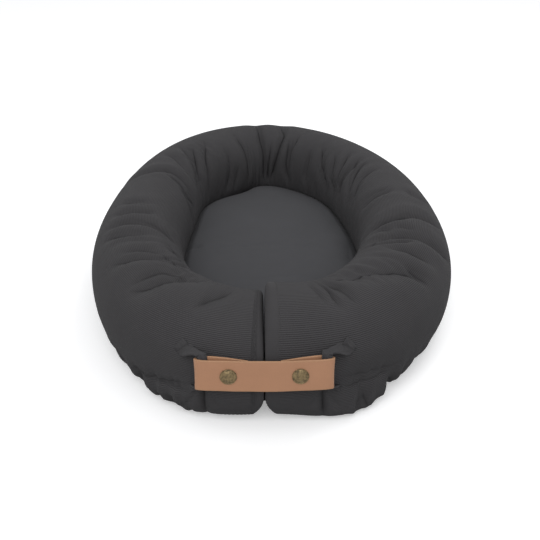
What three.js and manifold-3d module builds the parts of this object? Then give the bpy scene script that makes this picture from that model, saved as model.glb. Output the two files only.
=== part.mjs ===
// An infant lounger: a stuffed bolster bent round a padded base and open at the foot, where a
// leather strap with two press studs holds its ends together through two cloth loops. Millimetres,
// +Z up, the foot towards -Y, and the origin on the floor under the middle of the base.

import * as THREE from "three";
import { mergeVertices } from "three/addons/utils/BufferGeometryUtils.js";
import Module from "manifold-3d";

const wasm = await Module();
wasm.setup();

// The whole lounger
const outerLength = 780;
const outerWidth = 476;
const headTaperShare = 0.09;
const footExponent = 2.1;
const headExponent = 2.2;
const middleSway = 10;
const cornerSwell = 6;
const cornerSwellFromFoot = 200;
const cornerSwellLength = 120;
const headDrop = 6;

// Clearances
const seatGap = 0.3;
const tuckGap = 1.9;
const fillGap = 0.9;
const runningGap = 0.2;
const cutOverrun = 2;

// Bolster: its section, the cloth round it and the stuffing in it
const bolsterWidth = 122;
const bolsterHeight = 124;
const bolsterFlatDepth = 3;
const upperExponent = 2.05;
const lowerExponent = 2.8;
const coverThickness = 1.6;
const footGap = 2.4;
const endRounding = 9;
const endPanelThickness = 1.6;
const endPanelCrown = 1.5;

// Folds of the bolster's cloth, deepest on its inner side and towards the head
const foldStart = 125;
const foldDepth = 9;
const headSeamDepth = 10;
const foldCount = 12;
const foldBunchingShare = 0.86;
const foldAngle = THREE.MathUtils.degToRad(140);
const foldSpread = 1.3;
const shallowFoldShare = 0.55;
const unevenFoldShare = 0.22;
const unevenFoldTurn = 2.4;
const ridgeHalfShare = 0.26;
const ridgeDropShare = 0.18;

// Base: the panel on the floor, the foam and the lying panel that wraps it
const basePanelThickness = 4;
const basePanelOverhang = 41;
const padHeight = 36;
const padCrown = 7;
const padFootHeight = 9;
const lyingPanelThickness = 1.8;

// Elastic that gathers the bolster's cloth under the base panel's rim
const elasticWidth = 6;
const elasticThickness = 0.8;
const elasticInset = 2;
const elasticOpening = 118;

// Leather strap, folded back at both ends, and its press studs
const strapLength = 138;
const strapWidth = 35;
const leatherThickness = 2.2;
const plyGap = 4.8;
const strapTabLength = 50;
const strapHeight = 74;
const strapLean = THREE.MathUtils.degToRad(8);
const strapStandOff = 0.5;
const studSpacing = 71;
const capDiameter = 17;
const capHeight = 1.8;
const capRim = 0.6;
const capTubeDiameter = 3.6;
const rivetHoleClearance = 0.4;
const socketDiameter = 12;
const socketFloor = 0.8;
const socketHeight = 2.8;
const socketRounding = 0.8;
const studHeadDiameter = 6.2;
const studHeadHeight = 2.4;
const studHeadRounding = 0.5;
const studNeckDiameter = 5.2;
const studFlangeDiameter = 11;
const studFlangeThickness = 0.8;
const postFlangeDiameter = 10;
const postFlangeThickness = 0.7;

// Cloth loops that the strap wraps round
const loopWidth = 13;
const loopThickness = 1.5;
const loopSewnLength = 8;
const loopUpperShare = 0.77;
const loopLowerShare = 0.35;
const loopUpperSpread = 5;
const loopLowerSpread = 1;

// Zip in the base panel, along X
const zipEndMargin = 21;
const zipFromMiddle = 110;
const zipTapeWidth = 13;
const zipTapeThickness = 0.6;
const toothPitch = 4;
const toothLength = 1.6;
const toothReach = 1;
const toothSpineWidth = 1.7;
const toothHeight = 2.2;
const sliderLength = 12;
const sliderBridgeLength = 4;
const sliderPlate = 0.7;
const sliderFlange = 0.8;
const sliderLugLength = 3;
const sliderLugWidth = 2;
const lugHoleDiameter = 1.3;
const pullBarDiameter = 0.9;
const pullThickness = 0.9;
const pullLength = 17;
const pullWidth = 6;
const pullRim = 1.4;
const pullNose = 0.8;
const zipStopLength = 2.4;
const zipEndTape = 8;

// Number of facets
const planSamples = 720;
const ringPoints = 14;
const smoothStations = 4;
const roundingSteps = 3;
const padStations = 44;
const padSideSteps = 4;
const crownRingShares = [0.85, 0.6, 0.3];
const barSides = 8;
const lugHoleSteps = 6;
const domeSteps = 4;
const roundSteps = 24;
const foldSteps = 8;

// Colours
const clothColour = 0x343436;
const clothRoughness = 0.92;
const leatherColour = 0xa8785c;

const ringAngles = Array.from({ length: ringPoints }, (_, k) => Math.PI / 2 + (2 * Math.PI * k) / ringPoints);
const bolsterFloor = basePanelThickness + seatGap;
const padFloor = basePanelThickness + seatGap;

// Signed power, for superellipses
function signedPower(value, power) {
  return Math.sign(value) * Math.abs(value) ** power;
}

// The bolster's middle line, seen from above, walked from the foot over +X to the head
function planPoint(angle) {
  const exponent = angle < 0 ? footExponent : headExponent;
  const along = signedPower(Math.sin(angle), 2 / exponent);
  const across = signedPower(Math.cos(angle), 2 / exponent);
  const halfAcross = (outerWidth - bolsterWidth) / 2;
  const halfAlong = (outerLength - bolsterWidth) / 2;
  return new THREE.Vector2(halfAcross * across * (1 - headTaperShare * along), halfAlong * along);
}

const pathPoints = [];
const pathWalked = [];
for (let i = 0; i <= planSamples; i++) {
  pathPoints.push(planPoint(-Math.PI / 2 + (Math.PI * i) / planSamples));
  pathWalked.push(i === 0 ? 0 : pathWalked[i - 1] + pathPoints[i].distanceTo(pathPoints[i - 1]));
}
pathPoints[0].x = 0;
pathPoints[planSamples].x = 0;
const halfLength = pathWalked[planSamples];

// Where the cloth of a bolster half starts, where its rounded end is over, and where it stops at the head
const faceDistance = footGap / 2 + endPanelThickness + seatGap;
const smoothFrom = faceDistance + endRounding;
const headDistance = halfLength - seatGap / 2;

// A place on the middle line: its point, and the direction away from the pad
function walk(distance) {
  let i = pathWalked.findIndex((walked) => walked > distance);
  if (i < 1) i = distance > 0 ? planSamples : 1;
  const share = (distance - pathWalked[i - 1]) / (pathWalked[i] - pathWalked[i - 1]);
  const point = pathPoints[i - 1].clone().lerp(pathPoints[i], share);
  const before = pathPoints[Math.max(i - 3, 0)];
  const after = pathPoints[Math.min(i + 2, planSamples)];
  const direction = after.clone().sub(before).normalize();
  if (distance <= smoothFrom) direction.set(1, 0);
  if (distance >= headDistance) direction.set(-1, 0);
  return { point, outward: new THREE.Vector2(direction.y, -direction.x) };
}

// How far the stuffing has settled towards +X at a distance walked, the same on both sides
function sway(distance) {
  return middleSway * Math.sin((Math.PI * distance) / halfLength) ** 2;
}

// A point of the bolster's section, as its way out from the middle line and its height, set in by inset
function sectionPoint(angle, inset) {
  const lower = Math.sin(angle) < 0;
  const power = 2 / (lower ? lowerExponent : upperExponent);
  const halfHeight = (bolsterHeight + bolsterFlatDepth) / 2;
  const out = (bolsterWidth / 2) * signedPower(Math.cos(angle), power);
  const up = halfHeight * signedPower(Math.sin(angle), power);
  const flat = Math.max(up, bolsterFlatDepth - halfHeight);
  const share = 1 - inset / Math.hypot(out, flat);
  return { out: out * share, height: bolsterFloor + halfHeight - bolsterFlatDepth + flat * share };
}

// How far out the bolster reaches at a height over its own floor, on its lower half
function sectionReach(height) {
  const halfHeight = (bolsterHeight + bolsterFlatDepth) / 2;
  const down = Math.min(Math.abs(halfHeight - bolsterFlatDepth - height) / halfHeight, 1);
  return (bolsterWidth / 2) * (1 - down ** lowerExponent) ** (1 / lowerExponent);
}

// How deep the cloth may be drawn in at an angle of the section
function foldEnvelope(distance, angle) {
  const grown = THREE.MathUtils.smoothstep(distance, foldStart, halfLength);
  const growth = distance <= foldStart ? 0 : shallowFoldShare + (1 - shallowFoldShare) * grown;
  const turned = (1 + Math.cos(angle - foldAngle)) / 2;
  return growth * turned ** foldSpread;
}

// Stations of the bolster's cloth from the foot to the head. Ridges and drawn-in folds take turns.
const stations = [];
for (let i = 0; i <= roundingSteps; i++) {
  const turn = (Math.PI / 2) * (i / roundingSteps);
  stations.push({
    distance: faceDistance + endRounding * (1 - Math.cos(turn)),
    rounding: endRounding * (1 - Math.sin(turn)),
    fold: 0,
  });
}
for (let i = 1; i <= smoothStations; i++) {
  const distance = smoothFrom + (foldStart - smoothFrom) * (i / smoothStations);
  stations.push({ distance, rounding: 0, fold: 0 });
}
for (let k = 0; k < foldCount; k++) {
  const at = (share) => foldStart + (headDistance - foldStart) * share ** foldBunchingShare;
  const unevenShare = 1 - (unevenFoldShare * (1 + Math.sin(unevenFoldTurn * k))) / 2;
  const valley = foldDepth * unevenShare;
  for (const ridgeShare of [1 / 2 - ridgeHalfShare, 1 / 2 + ridgeHalfShare]) {
    stations.push({ distance: at((k + ridgeShare) / foldCount), rounding: 0, fold: valley * ridgeDropShare });
  }
  stations.push({ distance: at((k + 1) / foldCount), rounding: 0, fold: valley });
}
stations.at(-1).fold = headSeamDepth;

// One ring of points round the bolster at a station, on the +X side or mirrored
function bolsterRing(station, extraInset, side, filled) {
  const { point, outward } = walk(station.distance);
  const deepest = Math.max(foldDepth, headSeamDepth);
  const fromSwell = (station.distance - cornerSwellFromFoot) / cornerSwellLength;
  const swell = side > 0 ? cornerSwell * Math.exp(-fromSwell * fromSwell) : 0;
  const drop = headDrop * THREE.MathUtils.smoothstep(station.distance, foldStart, halfLength);
  return ringAngles.map((angle) => {
    const drawn = (filled ? deepest : station.fold) * foldEnvelope(station.distance, angle);
    const place = sectionPoint(angle, station.rounding + drawn + extraInset);
    const out = place.out + swell * Math.max(Math.cos(angle), 0);
    const x = side * (point.x + out * outward.x) + sway(station.distance);
    return new THREE.Vector3(x, point.y + out * outward.y, place.height - drop * Math.max(Math.sin(angle), 0));
  });
}

// A closed solid from rings of points, each joined to the next. Open runs of rings get fans at both ends.
function solidFromRings(rings, joined) {
  const count = rings[0].length;
  const points = rings.flat();
  const index = [];
  const steps = joined ? rings.length : rings.length - 1;
  for (let i = 0; i < steps; i++) {
    const here = i * count;
    const next = ((i + 1) % rings.length) * count;
    for (let k = 0; k < count; k++) {
      const after = (k + 1) % count;
      index.push(here + k, here + after, next + after);
      index.push(here + k, next + after, next + k);
    }
  }
  if (!joined) {
    const last = points.length - count;
    for (const [ring, start, forward] of [[rings[0], 0, false], [rings.at(-1), last, true]]) {
      const middle = ring.reduce((sum, p) => sum.add(p), new THREE.Vector3()).divideScalar(count);
      const centre = points.push(middle) - 1;
      for (let k = 0; k < count; k++) {
        const after = (k + 1) % count;
        index.push(...(forward ? [start + k, start + after, centre] : [start + after, start + k, centre]));
      }
    }
  }
  let volume = 0;
  for (let i = 0; i < index.length; i += 3) {
    const [a, b, c] = [points[index[i]], points[index[i + 1]], points[index[i + 2]]];
    volume += a.dot(b.clone().cross(c));
  }
  if (volume < 0) index.reverse();
  const geometry = new THREE.BufferGeometry();
  const places = points.flatMap((p) => [p.x, p.y, p.z]);
  geometry.setAttribute("position", new THREE.Float32BufferAttribute(places, 3));
  geometry.setIndex(index);
  geometry.computeVertexNormals();
  return geometry;
}

// A geometry as a manifold-3d solid, and back
function toSolid(geometry) {
  const bare = geometry.clone();
  bare.deleteAttribute("normal");
  bare.deleteAttribute("uv");
  const merged = mergeVertices(bare);
  return new wasm.Manifold(
    new wasm.Mesh({
      numProp: 3,
      vertProperties: new Float32Array(merged.attributes.position.array),
      triVerts: new Uint32Array(merged.index.array),
    }),
  );
}

function toGeometry(solid) {
  const mesh = solid.getMesh();
  const geometry = new THREE.BufferGeometry();
  geometry.setAttribute("position", new THREE.Float32BufferAttribute(mesh.vertProperties, 3));
  geometry.setIndex(new THREE.Uint32BufferAttribute(mesh.triVerts, 1));
  geometry.computeVertexNormals();
  return geometry;
}

// A box by its lowest and highest corners
function block(low, high) {
  const size = high.map((value, i) => value - low[i]);
  const middle = high.map((value, i) => (value + low[i]) / 2);
  return new THREE.BoxGeometry(...size).translate(...middle);
}

// A revolved solid whose axis is Y, from its profile of [radius, height]
function turned(profile) {
  const points = profile.map(([radius, height]) => new THREE.Vector2(radius, height));
  return new THREE.LatheGeometry(points, roundSteps);
}

const lounger = new THREE.Group();

function addPiece(parent, name, geometry, colour, roughness, metalness = 0) {
  const material = new THREE.MeshStandardMaterial({ color: colour, roughness, metalness });
  const mesh = new THREE.Mesh(geometry, material);
  mesh.name = name;
  parent.add(mesh);
  return mesh;
}

// Bolster: a cloth tube in two halves sewn at the head, closed at the foot by two end panels
function bolsterCover(side) {
  const outside = stations.map((station) => bolsterRing(station, 0, side, false));
  const inside = stations.map((station) => bolsterRing(station, coverThickness, side, false));
  return solidFromRings([...outside, ...inside.reverse()], true);
}

function endPanel(side) {
  const rim = { distance: footGap / 2 + endPanelThickness, rounding: endRounding, fold: 0 };
  const face = { ...rim, distance: footGap / 2 + endPanelCrown / 2 };
  const middle = { ...rim, distance: footGap / 2, rounding: endRounding * 2 };
  const rings = [rim, face, middle].map((station) => bolsterRing(station, 0, side, false));
  return solidFromRings(rings, false);
}

function bolsterFill() {
  const inset = coverThickness + fillGap;
  const right = stations.map((station) => bolsterRing(station, inset, 1, true));
  const left = stations.map((station) => bolsterRing(station, inset, -1, true));
  return solidFromRings([...right, ...left.reverse()], false);
}

for (const [side, word] of [[-1, "left"], [1, "right"]]) {
  addPiece(lounger, `bolster_cover_${word}`, bolsterCover(side), clothColour, clothRoughness);
  addPiece(lounger, `end_panel_${word}`, endPanel(side), clothColour, clothRoughness);
}
addPiece(lounger, "bolster_fill", bolsterFill(), 0xe6e4de, 1);

// A closed ring that follows the whole plan, moved out from the middle line
function planRing(out, height, count = padStations) {
  return Array.from({ length: count }, (_, i) => {
    const walked = (2 * halfLength * i) / count;
    const side = walked <= halfLength ? 1 : -1;
    const distance = side > 0 ? walked : 2 * halfLength - walked;
    const { point, outward } = walk(distance);
    const x = side * (point.x + out * outward.x) + sway(distance);
    return new THREE.Vector3(x, point.y + out * outward.y, height);
  });
}

// The pad's outside, from its foot up under the bolster's bulge and over the crown. It is set in by
// inset on the sides and lowered by drop on the top.
function padRings(inset, drop) {
  const rings = [];
  const reachAt = (height) => -(sectionReach(height - bolsterFloor) + tuckGap + inset);
  const edge = padHeight - drop;
  rings.push(planRing(reachAt(padFootHeight), padFloor));
  for (let i = 0; i <= padSideSteps; i++) {
    const height = padFootHeight + (edge - padFootHeight) * (i / padSideSteps);
    rings.push(planRing(reachAt(height), height));
  }
  const rim = rings.at(-1);
  for (const share of crownRingShares) {
    const height = edge + padCrown * (1 - share * share);
    rings.push(rim.map((p) => new THREE.Vector3(p.x * share, p.y * share, height)));
  }
  return rings;
}

// The pad's sides at its foot, at a distance from its middle towards the bolster's ends
function padSides(fromMiddle) {
  const rim = padRings(0, 0)[0];
  const crossing = (i) => {
    const [from, to] = [rim[i], rim[(i + 1) % rim.length]];
    return from.x + ((-fromMiddle - from.y) / (to.y - from.y)) * (to.x - from.x);
  };
  const right = rim.findIndex((p) => p.y > -fromMiddle) - 1;
  const left = rim.findLastIndex((p) => p.y > -fromMiddle);
  return [crossing(left), crossing(right)];
}

function lyingPanel() {
  const outside = padRings(0, 0);
  const inside = padRings(lyingPanelThickness, lyingPanelThickness);
  return solidFromRings([...outside.reverse(), ...inside], false);
}

// The foam, with a channel in its underside for the zip
function baseFoam() {
  const inset = lyingPanelThickness + seatGap;
  const foam = toSolid(solidFromRings(padRings(inset, inset), false));
  const channelHalf = spineOuter + seatGap + zipTapeWidth + seatGap;
  const channel = block(
    [zipMiddle - zipLength / 2 - zipEndTape - seatGap, -zipFromMiddle - channelHalf, 0],
    [zipMiddle + zipLength / 2 + zipEndTape + seatGap, -zipFromMiddle + channelHalf, sliderTop + seatGap],
  );
  return toGeometry(foam.subtract(toSolid(channel)));
}

// A rectangle as a path, for outlines and holes
function rectangle(PathClass, x0, y0, x1, y1) {
  const path = new PathClass();
  path.moveTo(x0, y0);
  path.lineTo(x1, y0);
  path.lineTo(x1, y1);
  path.lineTo(x0, y1);
  path.closePath();
  return path;
}

function basePanel() {
  const rim = planRing(basePanelOverhang, 0, padStations + padStations / 2);
  const shape = new THREE.Shape(rim.map((p) => new THREE.Vector2(p.x, p.y)));
  const halfSlot = sliderHalfWidth + runningGap * 2;
  const slotEnd = zipLength / 2 + zipStopLength + sliderFlange;
  const [slotLow, slotHigh] = [-zipFromMiddle - halfSlot, -zipFromMiddle + halfSlot];
  shape.holes.push(rectangle(THREE.Path, zipMiddle - slotEnd, slotLow, zipMiddle + slotEnd, slotHigh));
  return new THREE.ExtrudeGeometry(shape, { depth: basePanelThickness, bevelEnabled: false });
}

// Elastic: a flat band under the bolster, from one side of the foot round the head to the other
function hemElastic() {
  const from = elasticOpening / 2;
  const outer = basePanelOverhang - elasticInset;
  const steps = padStations - 1;
  const rings = [];
  for (let i = 0; i <= steps; i++) {
    const walked = from + (2 * (halfLength - from) * i) / steps;
    const side = walked <= halfLength ? 1 : -1;
    const distance = side > 0 ? walked : 2 * halfLength - walked;
    const { point, outward } = walk(distance);
    const corner = (out, height) => {
      const x = side * (point.x + out * outward.x) + sway(distance);
      return new THREE.Vector3(x, point.y + out * outward.y, height);
    };
    const low = basePanelThickness + seatGap;
    rings.push([
      corner(outer - elasticWidth, low),
      corner(outer, low),
      corner(outer, low + elasticThickness),
      corner(outer - elasticWidth, low + elasticThickness),
    ]);
  }
  return solidFromRings(rings, false);
}

// The zip runs across the pad to within a margin of its edges. Its heights are over the floor.
const [zipLeft, zipRight] = padSides(zipFromMiddle);
const zipMiddle = (zipLeft + zipRight) / 2;
const zipLength = zipRight - zipLeft - 2 * zipEndMargin;
const tapeLow = basePanelThickness + seatGap;
const chainMiddle = tapeLow + zipTapeThickness / 2;
const chainLow = chainMiddle - toothHeight / 2;
const chainTop = chainMiddle + toothHeight / 2;
const sliderLow = chainLow - seatGap - sliderPlate;
const sliderTop = chainTop + seatGap + sliderPlate;
const spineOuter = toothReach + seatGap + toothSpineWidth;
const sliderHalfWidth = spineOuter + seatGap + sliderFlange;
const chainEnd = zipLength / 2 - sliderLength / 2;
const lugHoleMiddle = sliderLow - lugHoleDiameter / 2 - runningGap * 2;

addPiece(lounger, "base_panel", basePanel(), clothColour, clothRoughness);
addPiece(lounger, "base_foam", baseFoam(), 0xe9e2c8, 1);
addPiece(lounger, "lying_panel", lyingPanel(), clothColour, clothRoughness);
addPiece(lounger, "hem_elastic", hemElastic(), 0x202022, 0.8);

// Zip: each side is a woven tape with a row of teeth on its edge, and the rows mesh
const zip = new THREE.Group();
zip.position.set(zipMiddle, -zipFromMiddle, 0);
lounger.add(zip);

function toothRow(side) {
  const shape = new THREE.Shape();
  const start = -zipLength / 2;
  const offset = side > 0 ? toothPitch / 2 : 0;
  const spineInner = toothReach + seatGap;
  shape.moveTo(start, -spineOuter);
  shape.lineTo(start, -spineInner);
  for (let x = start + offset + toothLength; x + toothLength < chainEnd; x += toothPitch) {
    shape.lineTo(x, -spineInner);
    shape.lineTo(x, toothReach);
    shape.lineTo(x + toothLength, toothReach);
    shape.lineTo(x + toothLength, -spineInner);
  }
  shape.lineTo(chainEnd, -spineInner);
  shape.lineTo(chainEnd, -spineOuter);
  shape.closePath();
  const row = new THREE.ExtrudeGeometry(shape, { depth: toothHeight, bevelEnabled: false });
  row.translate(0, 0, -toothHeight / 2);
  if (side > 0) row.rotateX(Math.PI);
  return row.translate(0, 0, chainMiddle);
}

function zipTape(side) {
  const half = zipLength / 2 + zipEndTape;
  const near = side * (spineOuter + seatGap);
  const far = side * (spineOuter + seatGap + zipTapeWidth);
  const [low, high] = [Math.min(near, far), Math.max(near, far)];
  return block([-half, low, tapeLow], [half, high, tapeLow + zipTapeThickness]);
}

// A stop bridges both rows at an end of the zip
function zipStop(end) {
  const middle = end * (zipLength / 2 + zipStopLength / 2 + seatGap);
  return block(
    [middle - zipStopLength / 2, -spineOuter, chainLow],
    [middle + zipStopLength / 2, spineOuter, chainTop],
  );
}

for (const [side, word] of [[-1, "foot"], [1, "head"]]) {
  addPiece(zip, `zip_tape_${word}`, zipTape(side), 0x2c2c2e, 0.9);
  addPiece(zip, `zip_teeth_${word}`, toothRow(side), 0x262628, 0.5);
}
addPiece(zip, "zip_stop_open", zipStop(-1), 0x55524c, 0.4, 1);
addPiece(zip, "zip_stop_closed", zipStop(1), 0x55524c, 0.4, 1);

// Slider: two plates held apart by a bridge, with flanges that leave a slot for the tapes and a lug
// below for the pull
const sliderEnd = zipLength / 2;
const sliderStart = sliderEnd - sliderLength;
const lugMiddle = sliderEnd - sliderLength / 2;

function zipSlider() {
  const half = sliderHalfWidth;
  const slot = seatGap;
  const parts = [
    block([sliderStart, -half, sliderLow], [sliderEnd, half, sliderLow + sliderPlate]),
    block([sliderStart, -half, sliderTop - sliderPlate], [sliderEnd, half, sliderTop]),
    block([sliderEnd - sliderBridgeLength, -toothReach, sliderLow], [sliderEnd, toothReach, sliderTop]),
  ];
  for (const side of [-1, 1]) {
    const [low, high] = side < 0 ? [-half, -half + sliderFlange] : [half - sliderFlange, half];
    parts.push(block([sliderStart, low, sliderLow], [sliderEnd, high, tapeLow - slot]));
    parts.push(block([sliderStart, low, tapeLow + zipTapeThickness + slot], [sliderEnd, high, sliderTop]));
  }
  const lugLow = lugHoleMiddle - lugHoleDiameter / 2 - runningGap * 2;
  const lugHalf = sliderLugLength / 2;
  const lug = rectangle(THREE.Shape, -lugHalf, -(sliderLow + sliderPlate / 2), lugHalf, -lugLow);
  const hole = new THREE.Path();
  hole.absarc(0, -lugHoleMiddle, lugHoleDiameter / 2, 0, Math.PI * 2, true);
  lug.holes.push(hole);
  const options = { depth: sliderLugWidth, bevelEnabled: false, curveSegments: lugHoleSteps };
  const lugSolid = new THREE.ExtrudeGeometry(lug, options);
  lugSolid.rotateX(-Math.PI / 2).translate(lugMiddle, -sliderLugWidth / 2, 0);
  parts.push(lugSolid);
  return toGeometry(parts.map(toSolid).reduce((whole, part) => whole.add(part)));
}

// Pull: a fork with the lug between its arms, a bar from arm to arm through the lug's hole, and a grip hole
function zipPull() {
  const half = pullWidth / 2;
  const windowHalf = sliderLugWidth / 2 + runningGap * 2;
  const windowReach = sliderLugLength / 2 + runningGap * 2;
  const tail = lugMiddle - pullLength;
  const nose = lugMiddle + pullNose;
  const low = lugHoleMiddle - pullThickness / 2;
  const high = lugHoleMiddle + pullThickness / 2;
  const tab = toSolid(block([tail, -half, low], [nose, half, high]));
  const gap = toSolid(
    block(
      [lugMiddle - windowReach, -windowHalf, low - cutOverrun],
      [nose + cutOverrun, windowHalf, high + cutOverrun],
    ),
  );
  const grip = toSolid(
    block(
      [tail + pullRim, -half + pullRim, low - cutOverrun],
      [lugMiddle - windowReach - pullRim, half - pullRim, high + cutOverrun],
    ),
  );
  const barRadius = pullBarDiameter / 2;
  const bar = new THREE.CylinderGeometry(barRadius, barRadius, windowHalf * 2 + pullRim, barSides);
  bar.translate(lugMiddle, 0, lugHoleMiddle);
  return toGeometry(tab.subtract(gap).subtract(grip).add(toSolid(bar)));
}

addPiece(zip, "zip_slider", zipSlider(), 0x55524c, 0.4, 1);
addPiece(zip, "zip_pull", zipPull(), 0x55524c, 0.4, 1);

// Strap: its own frame has X along the strap, Z across it and Y away from the bolster's face, turned
// back so that it lies along the bolster. Its origin is in the middle of the front ply's face.
const strapForward = new THREE.Vector3(0, -Math.cos(strapLean), Math.sin(strapLean));
const strapUp = new THREE.Vector3(0, Math.sin(strapLean), Math.cos(strapLean));
const footRing = bolsterRing({ distance: smoothFrom, rounding: 0, fold: 0 }, 0, 1, false);
const bolsterReach = Math.max(...footRing.map((p) => new THREE.Vector3(0, p.y, p.z).dot(strapForward)));
const strapDepth = leatherThickness * 2 + plyGap;
const faceReach = bolsterReach + strapStandOff + postFlangeThickness + seatGap + strapDepth;
const strapMiddle = strapForward.clone().multiplyScalar(faceReach);
strapMiddle.addScaledVector(strapUp, (strapHeight - strapMiddle.z) / strapUp.z);

const strap = new THREE.Group();
strap.position.copy(strapMiddle);
strap.rotation.x = -strapLean;
lounger.add(strap);

const rivetHoleRadius = capTubeDiameter / 2 + rivetHoleClearance;
const strapBend = strapDepth / 2;
const plyEnd = strapLength / 2 - strapBend;

// A strip of leather lying across Y, with round holes, from one X to another
function leatherStrip(x0, x1, holes) {
  const half = strapWidth / 2;
  const shape = rectangle(THREE.Shape, x0, -half, x1, half);
  for (const x of holes) {
    const hole = new THREE.Path();
    hole.absarc(x, 0, rivetHoleRadius, 0, Math.PI * 2, true);
    shape.holes.push(hole);
  }
  const options = { depth: leatherThickness, bevelEnabled: false, curveSegments: roundSteps / 2 };
  return new THREE.ExtrudeGeometry(shape, options).rotateX(Math.PI / 2);
}

// The bend at a strap's end, from the front ply round to the tab
function strapFold(side) {
  const shape = new THREE.Shape();
  const inner = plyGap / 2;
  for (let i = 0; i <= foldSteps; i++) {
    const turn = Math.PI / 2 - (Math.PI * i) / foldSteps;
    const [x, y] = [side * Math.cos(turn) * strapBend, Math.sin(turn) * strapBend];
    if (i === 0) shape.moveTo(x, y);
    else shape.lineTo(x, y);
  }
  for (let i = foldSteps; i >= 0; i--) {
    const turn = Math.PI / 2 - (Math.PI * i) / foldSteps;
    shape.lineTo(side * Math.cos(turn) * inner, Math.sin(turn) * inner);
  }
  shape.closePath();
  const bend = new THREE.ExtrudeGeometry(shape, { depth: strapWidth, bevelEnabled: false });
  return bend.translate(side * (plyEnd + seatGap), strapBend, -strapWidth / 2);
}

const studX = studSpacing / 2;
const frontPly = leatherStrip(-plyEnd, plyEnd, [-studX, studX]).translate(0, leatherThickness, 0);
addPiece(strap, "strap_front", frontPly, leatherColour, 0.6);

// Heights of the press stud's pieces, from the strap's face towards the bolster
const capSeat = -seatGap;
const socketSeat = leatherThickness + seatGap;
const tabFace = leatherThickness + plyGap;
const tabBack = tabFace + leatherThickness;
const studSeat = tabFace - seatGap;
const tubeRadius = capTubeDiameter / 2;
const headRadius = studHeadDiameter / 2;

function pressCap() {
  const rim = capDiameter / 2;
  const tubeEnd = socketSeat + socketFloor;
  const dome = Array.from({ length: domeSteps + 1 }, (_, i) => {
    const turn = (Math.PI / 2) * (i / domeSteps);
    return [rim * Math.sin(turn), capSeat - capRim - (capHeight - capRim) * Math.cos(turn)];
  });
  return turned([...dome, [rim, capSeat], [tubeRadius, capSeat], [tubeRadius, tubeEnd], [0, tubeEnd]]);
}

function pressSocket() {
  const outer = socketDiameter / 2;
  const mouth = headRadius + runningGap;
  const bore = tubeRadius + runningGap;
  const rimEnd = socketSeat + socketHeight;
  return turned([
    [bore, socketSeat],
    [outer, socketSeat],
    [outer, rimEnd - socketRounding],
    [outer - socketRounding, rimEnd],
    [mouth, rimEnd],
    [mouth, socketSeat + socketFloor],
    [bore, socketSeat + socketFloor],
    [bore, socketSeat],
  ]);
}

function pressStud() {
  const flange = studFlangeDiameter / 2;
  const neck = studNeckDiameter / 2;
  const bore = tubeRadius + runningGap;
  const flangeFace = studSeat - studFlangeThickness;
  const headEnd = studSeat - studHeadHeight;
  return turned([
    [0, headEnd],
    [headRadius - studHeadRounding, headEnd],
    [headRadius, headEnd + studHeadRounding],
    [headRadius, headEnd + studHeadRounding * 2],
    [neck, flangeFace],
    [flange, flangeFace],
    [flange, studSeat],
    [bore, studSeat],
    [bore, flangeFace],
    [0, flangeFace],
  ]);
}

function pressPost() {
  const flange = postFlangeDiameter / 2;
  const seat = tabBack + seatGap;
  const tubeEnd = studSeat - studFlangeThickness / 2;
  return turned([
    [0, tubeEnd],
    [tubeRadius, tubeEnd],
    [tubeRadius, seat],
    [flange, seat],
    [flange, seat + postFlangeThickness],
    [0, seat + postFlangeThickness],
  ]);
}

for (const [side, word] of [[-1, "left"], [1, "right"]]) {
  const tabEnd = strapLength / 2 - strapTabLength;
  const [tabFrom, tabTo] = side < 0 ? [-plyEnd, -tabEnd] : [tabEnd, plyEnd];
  const tab = leatherStrip(tabFrom, tabTo, [side * studX]);
  addPiece(strap, `strap_fold_${word}`, strapFold(side), leatherColour, 0.6);
  addPiece(strap, `strap_tab_${word}`, tab.translate(0, tabBack, 0), leatherColour, 0.6);
  const pieces = { cap: pressCap(), socket: pressSocket(), stud: pressStud(), post: pressPost() };
  for (const [kind, geometry] of Object.entries(pieces)) {
    const piece = addPiece(strap, `press_${kind}_${word}`, geometry, 0x8b7c5a, 0.45, 1);
    piece.position.x = side * studX;
  }
}

// A place on the front of one side's cloth at a height, with the directions along the bolster and out, all
// as on the +X side and before the sway
function bolsterFront(distance, height, side) {
  const ring = bolsterRing({ distance, rounding: 0, fold: 0 }, 0, side, false);
  for (const p of ring) p.x = side * (p.x - sway(distance));
  const { outward } = walk(distance);
  for (let k = 0; k < ringPoints; k++) {
    const [low, high] = [ring[k], ring[(k + 1) % ringPoints]];
    if (low.z > height || high.z <= height) continue;
    const place = low.clone().lerp(high, (height - low.z) / (high.z - low.z));
    const along = new THREE.Vector3(-outward.y, outward.x, 0);
    const out = along.clone().cross(high.clone().sub(low)).normalize();
    return { place, along, out };
  }
  throw new Error("the height is off the bolster");
}

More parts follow.
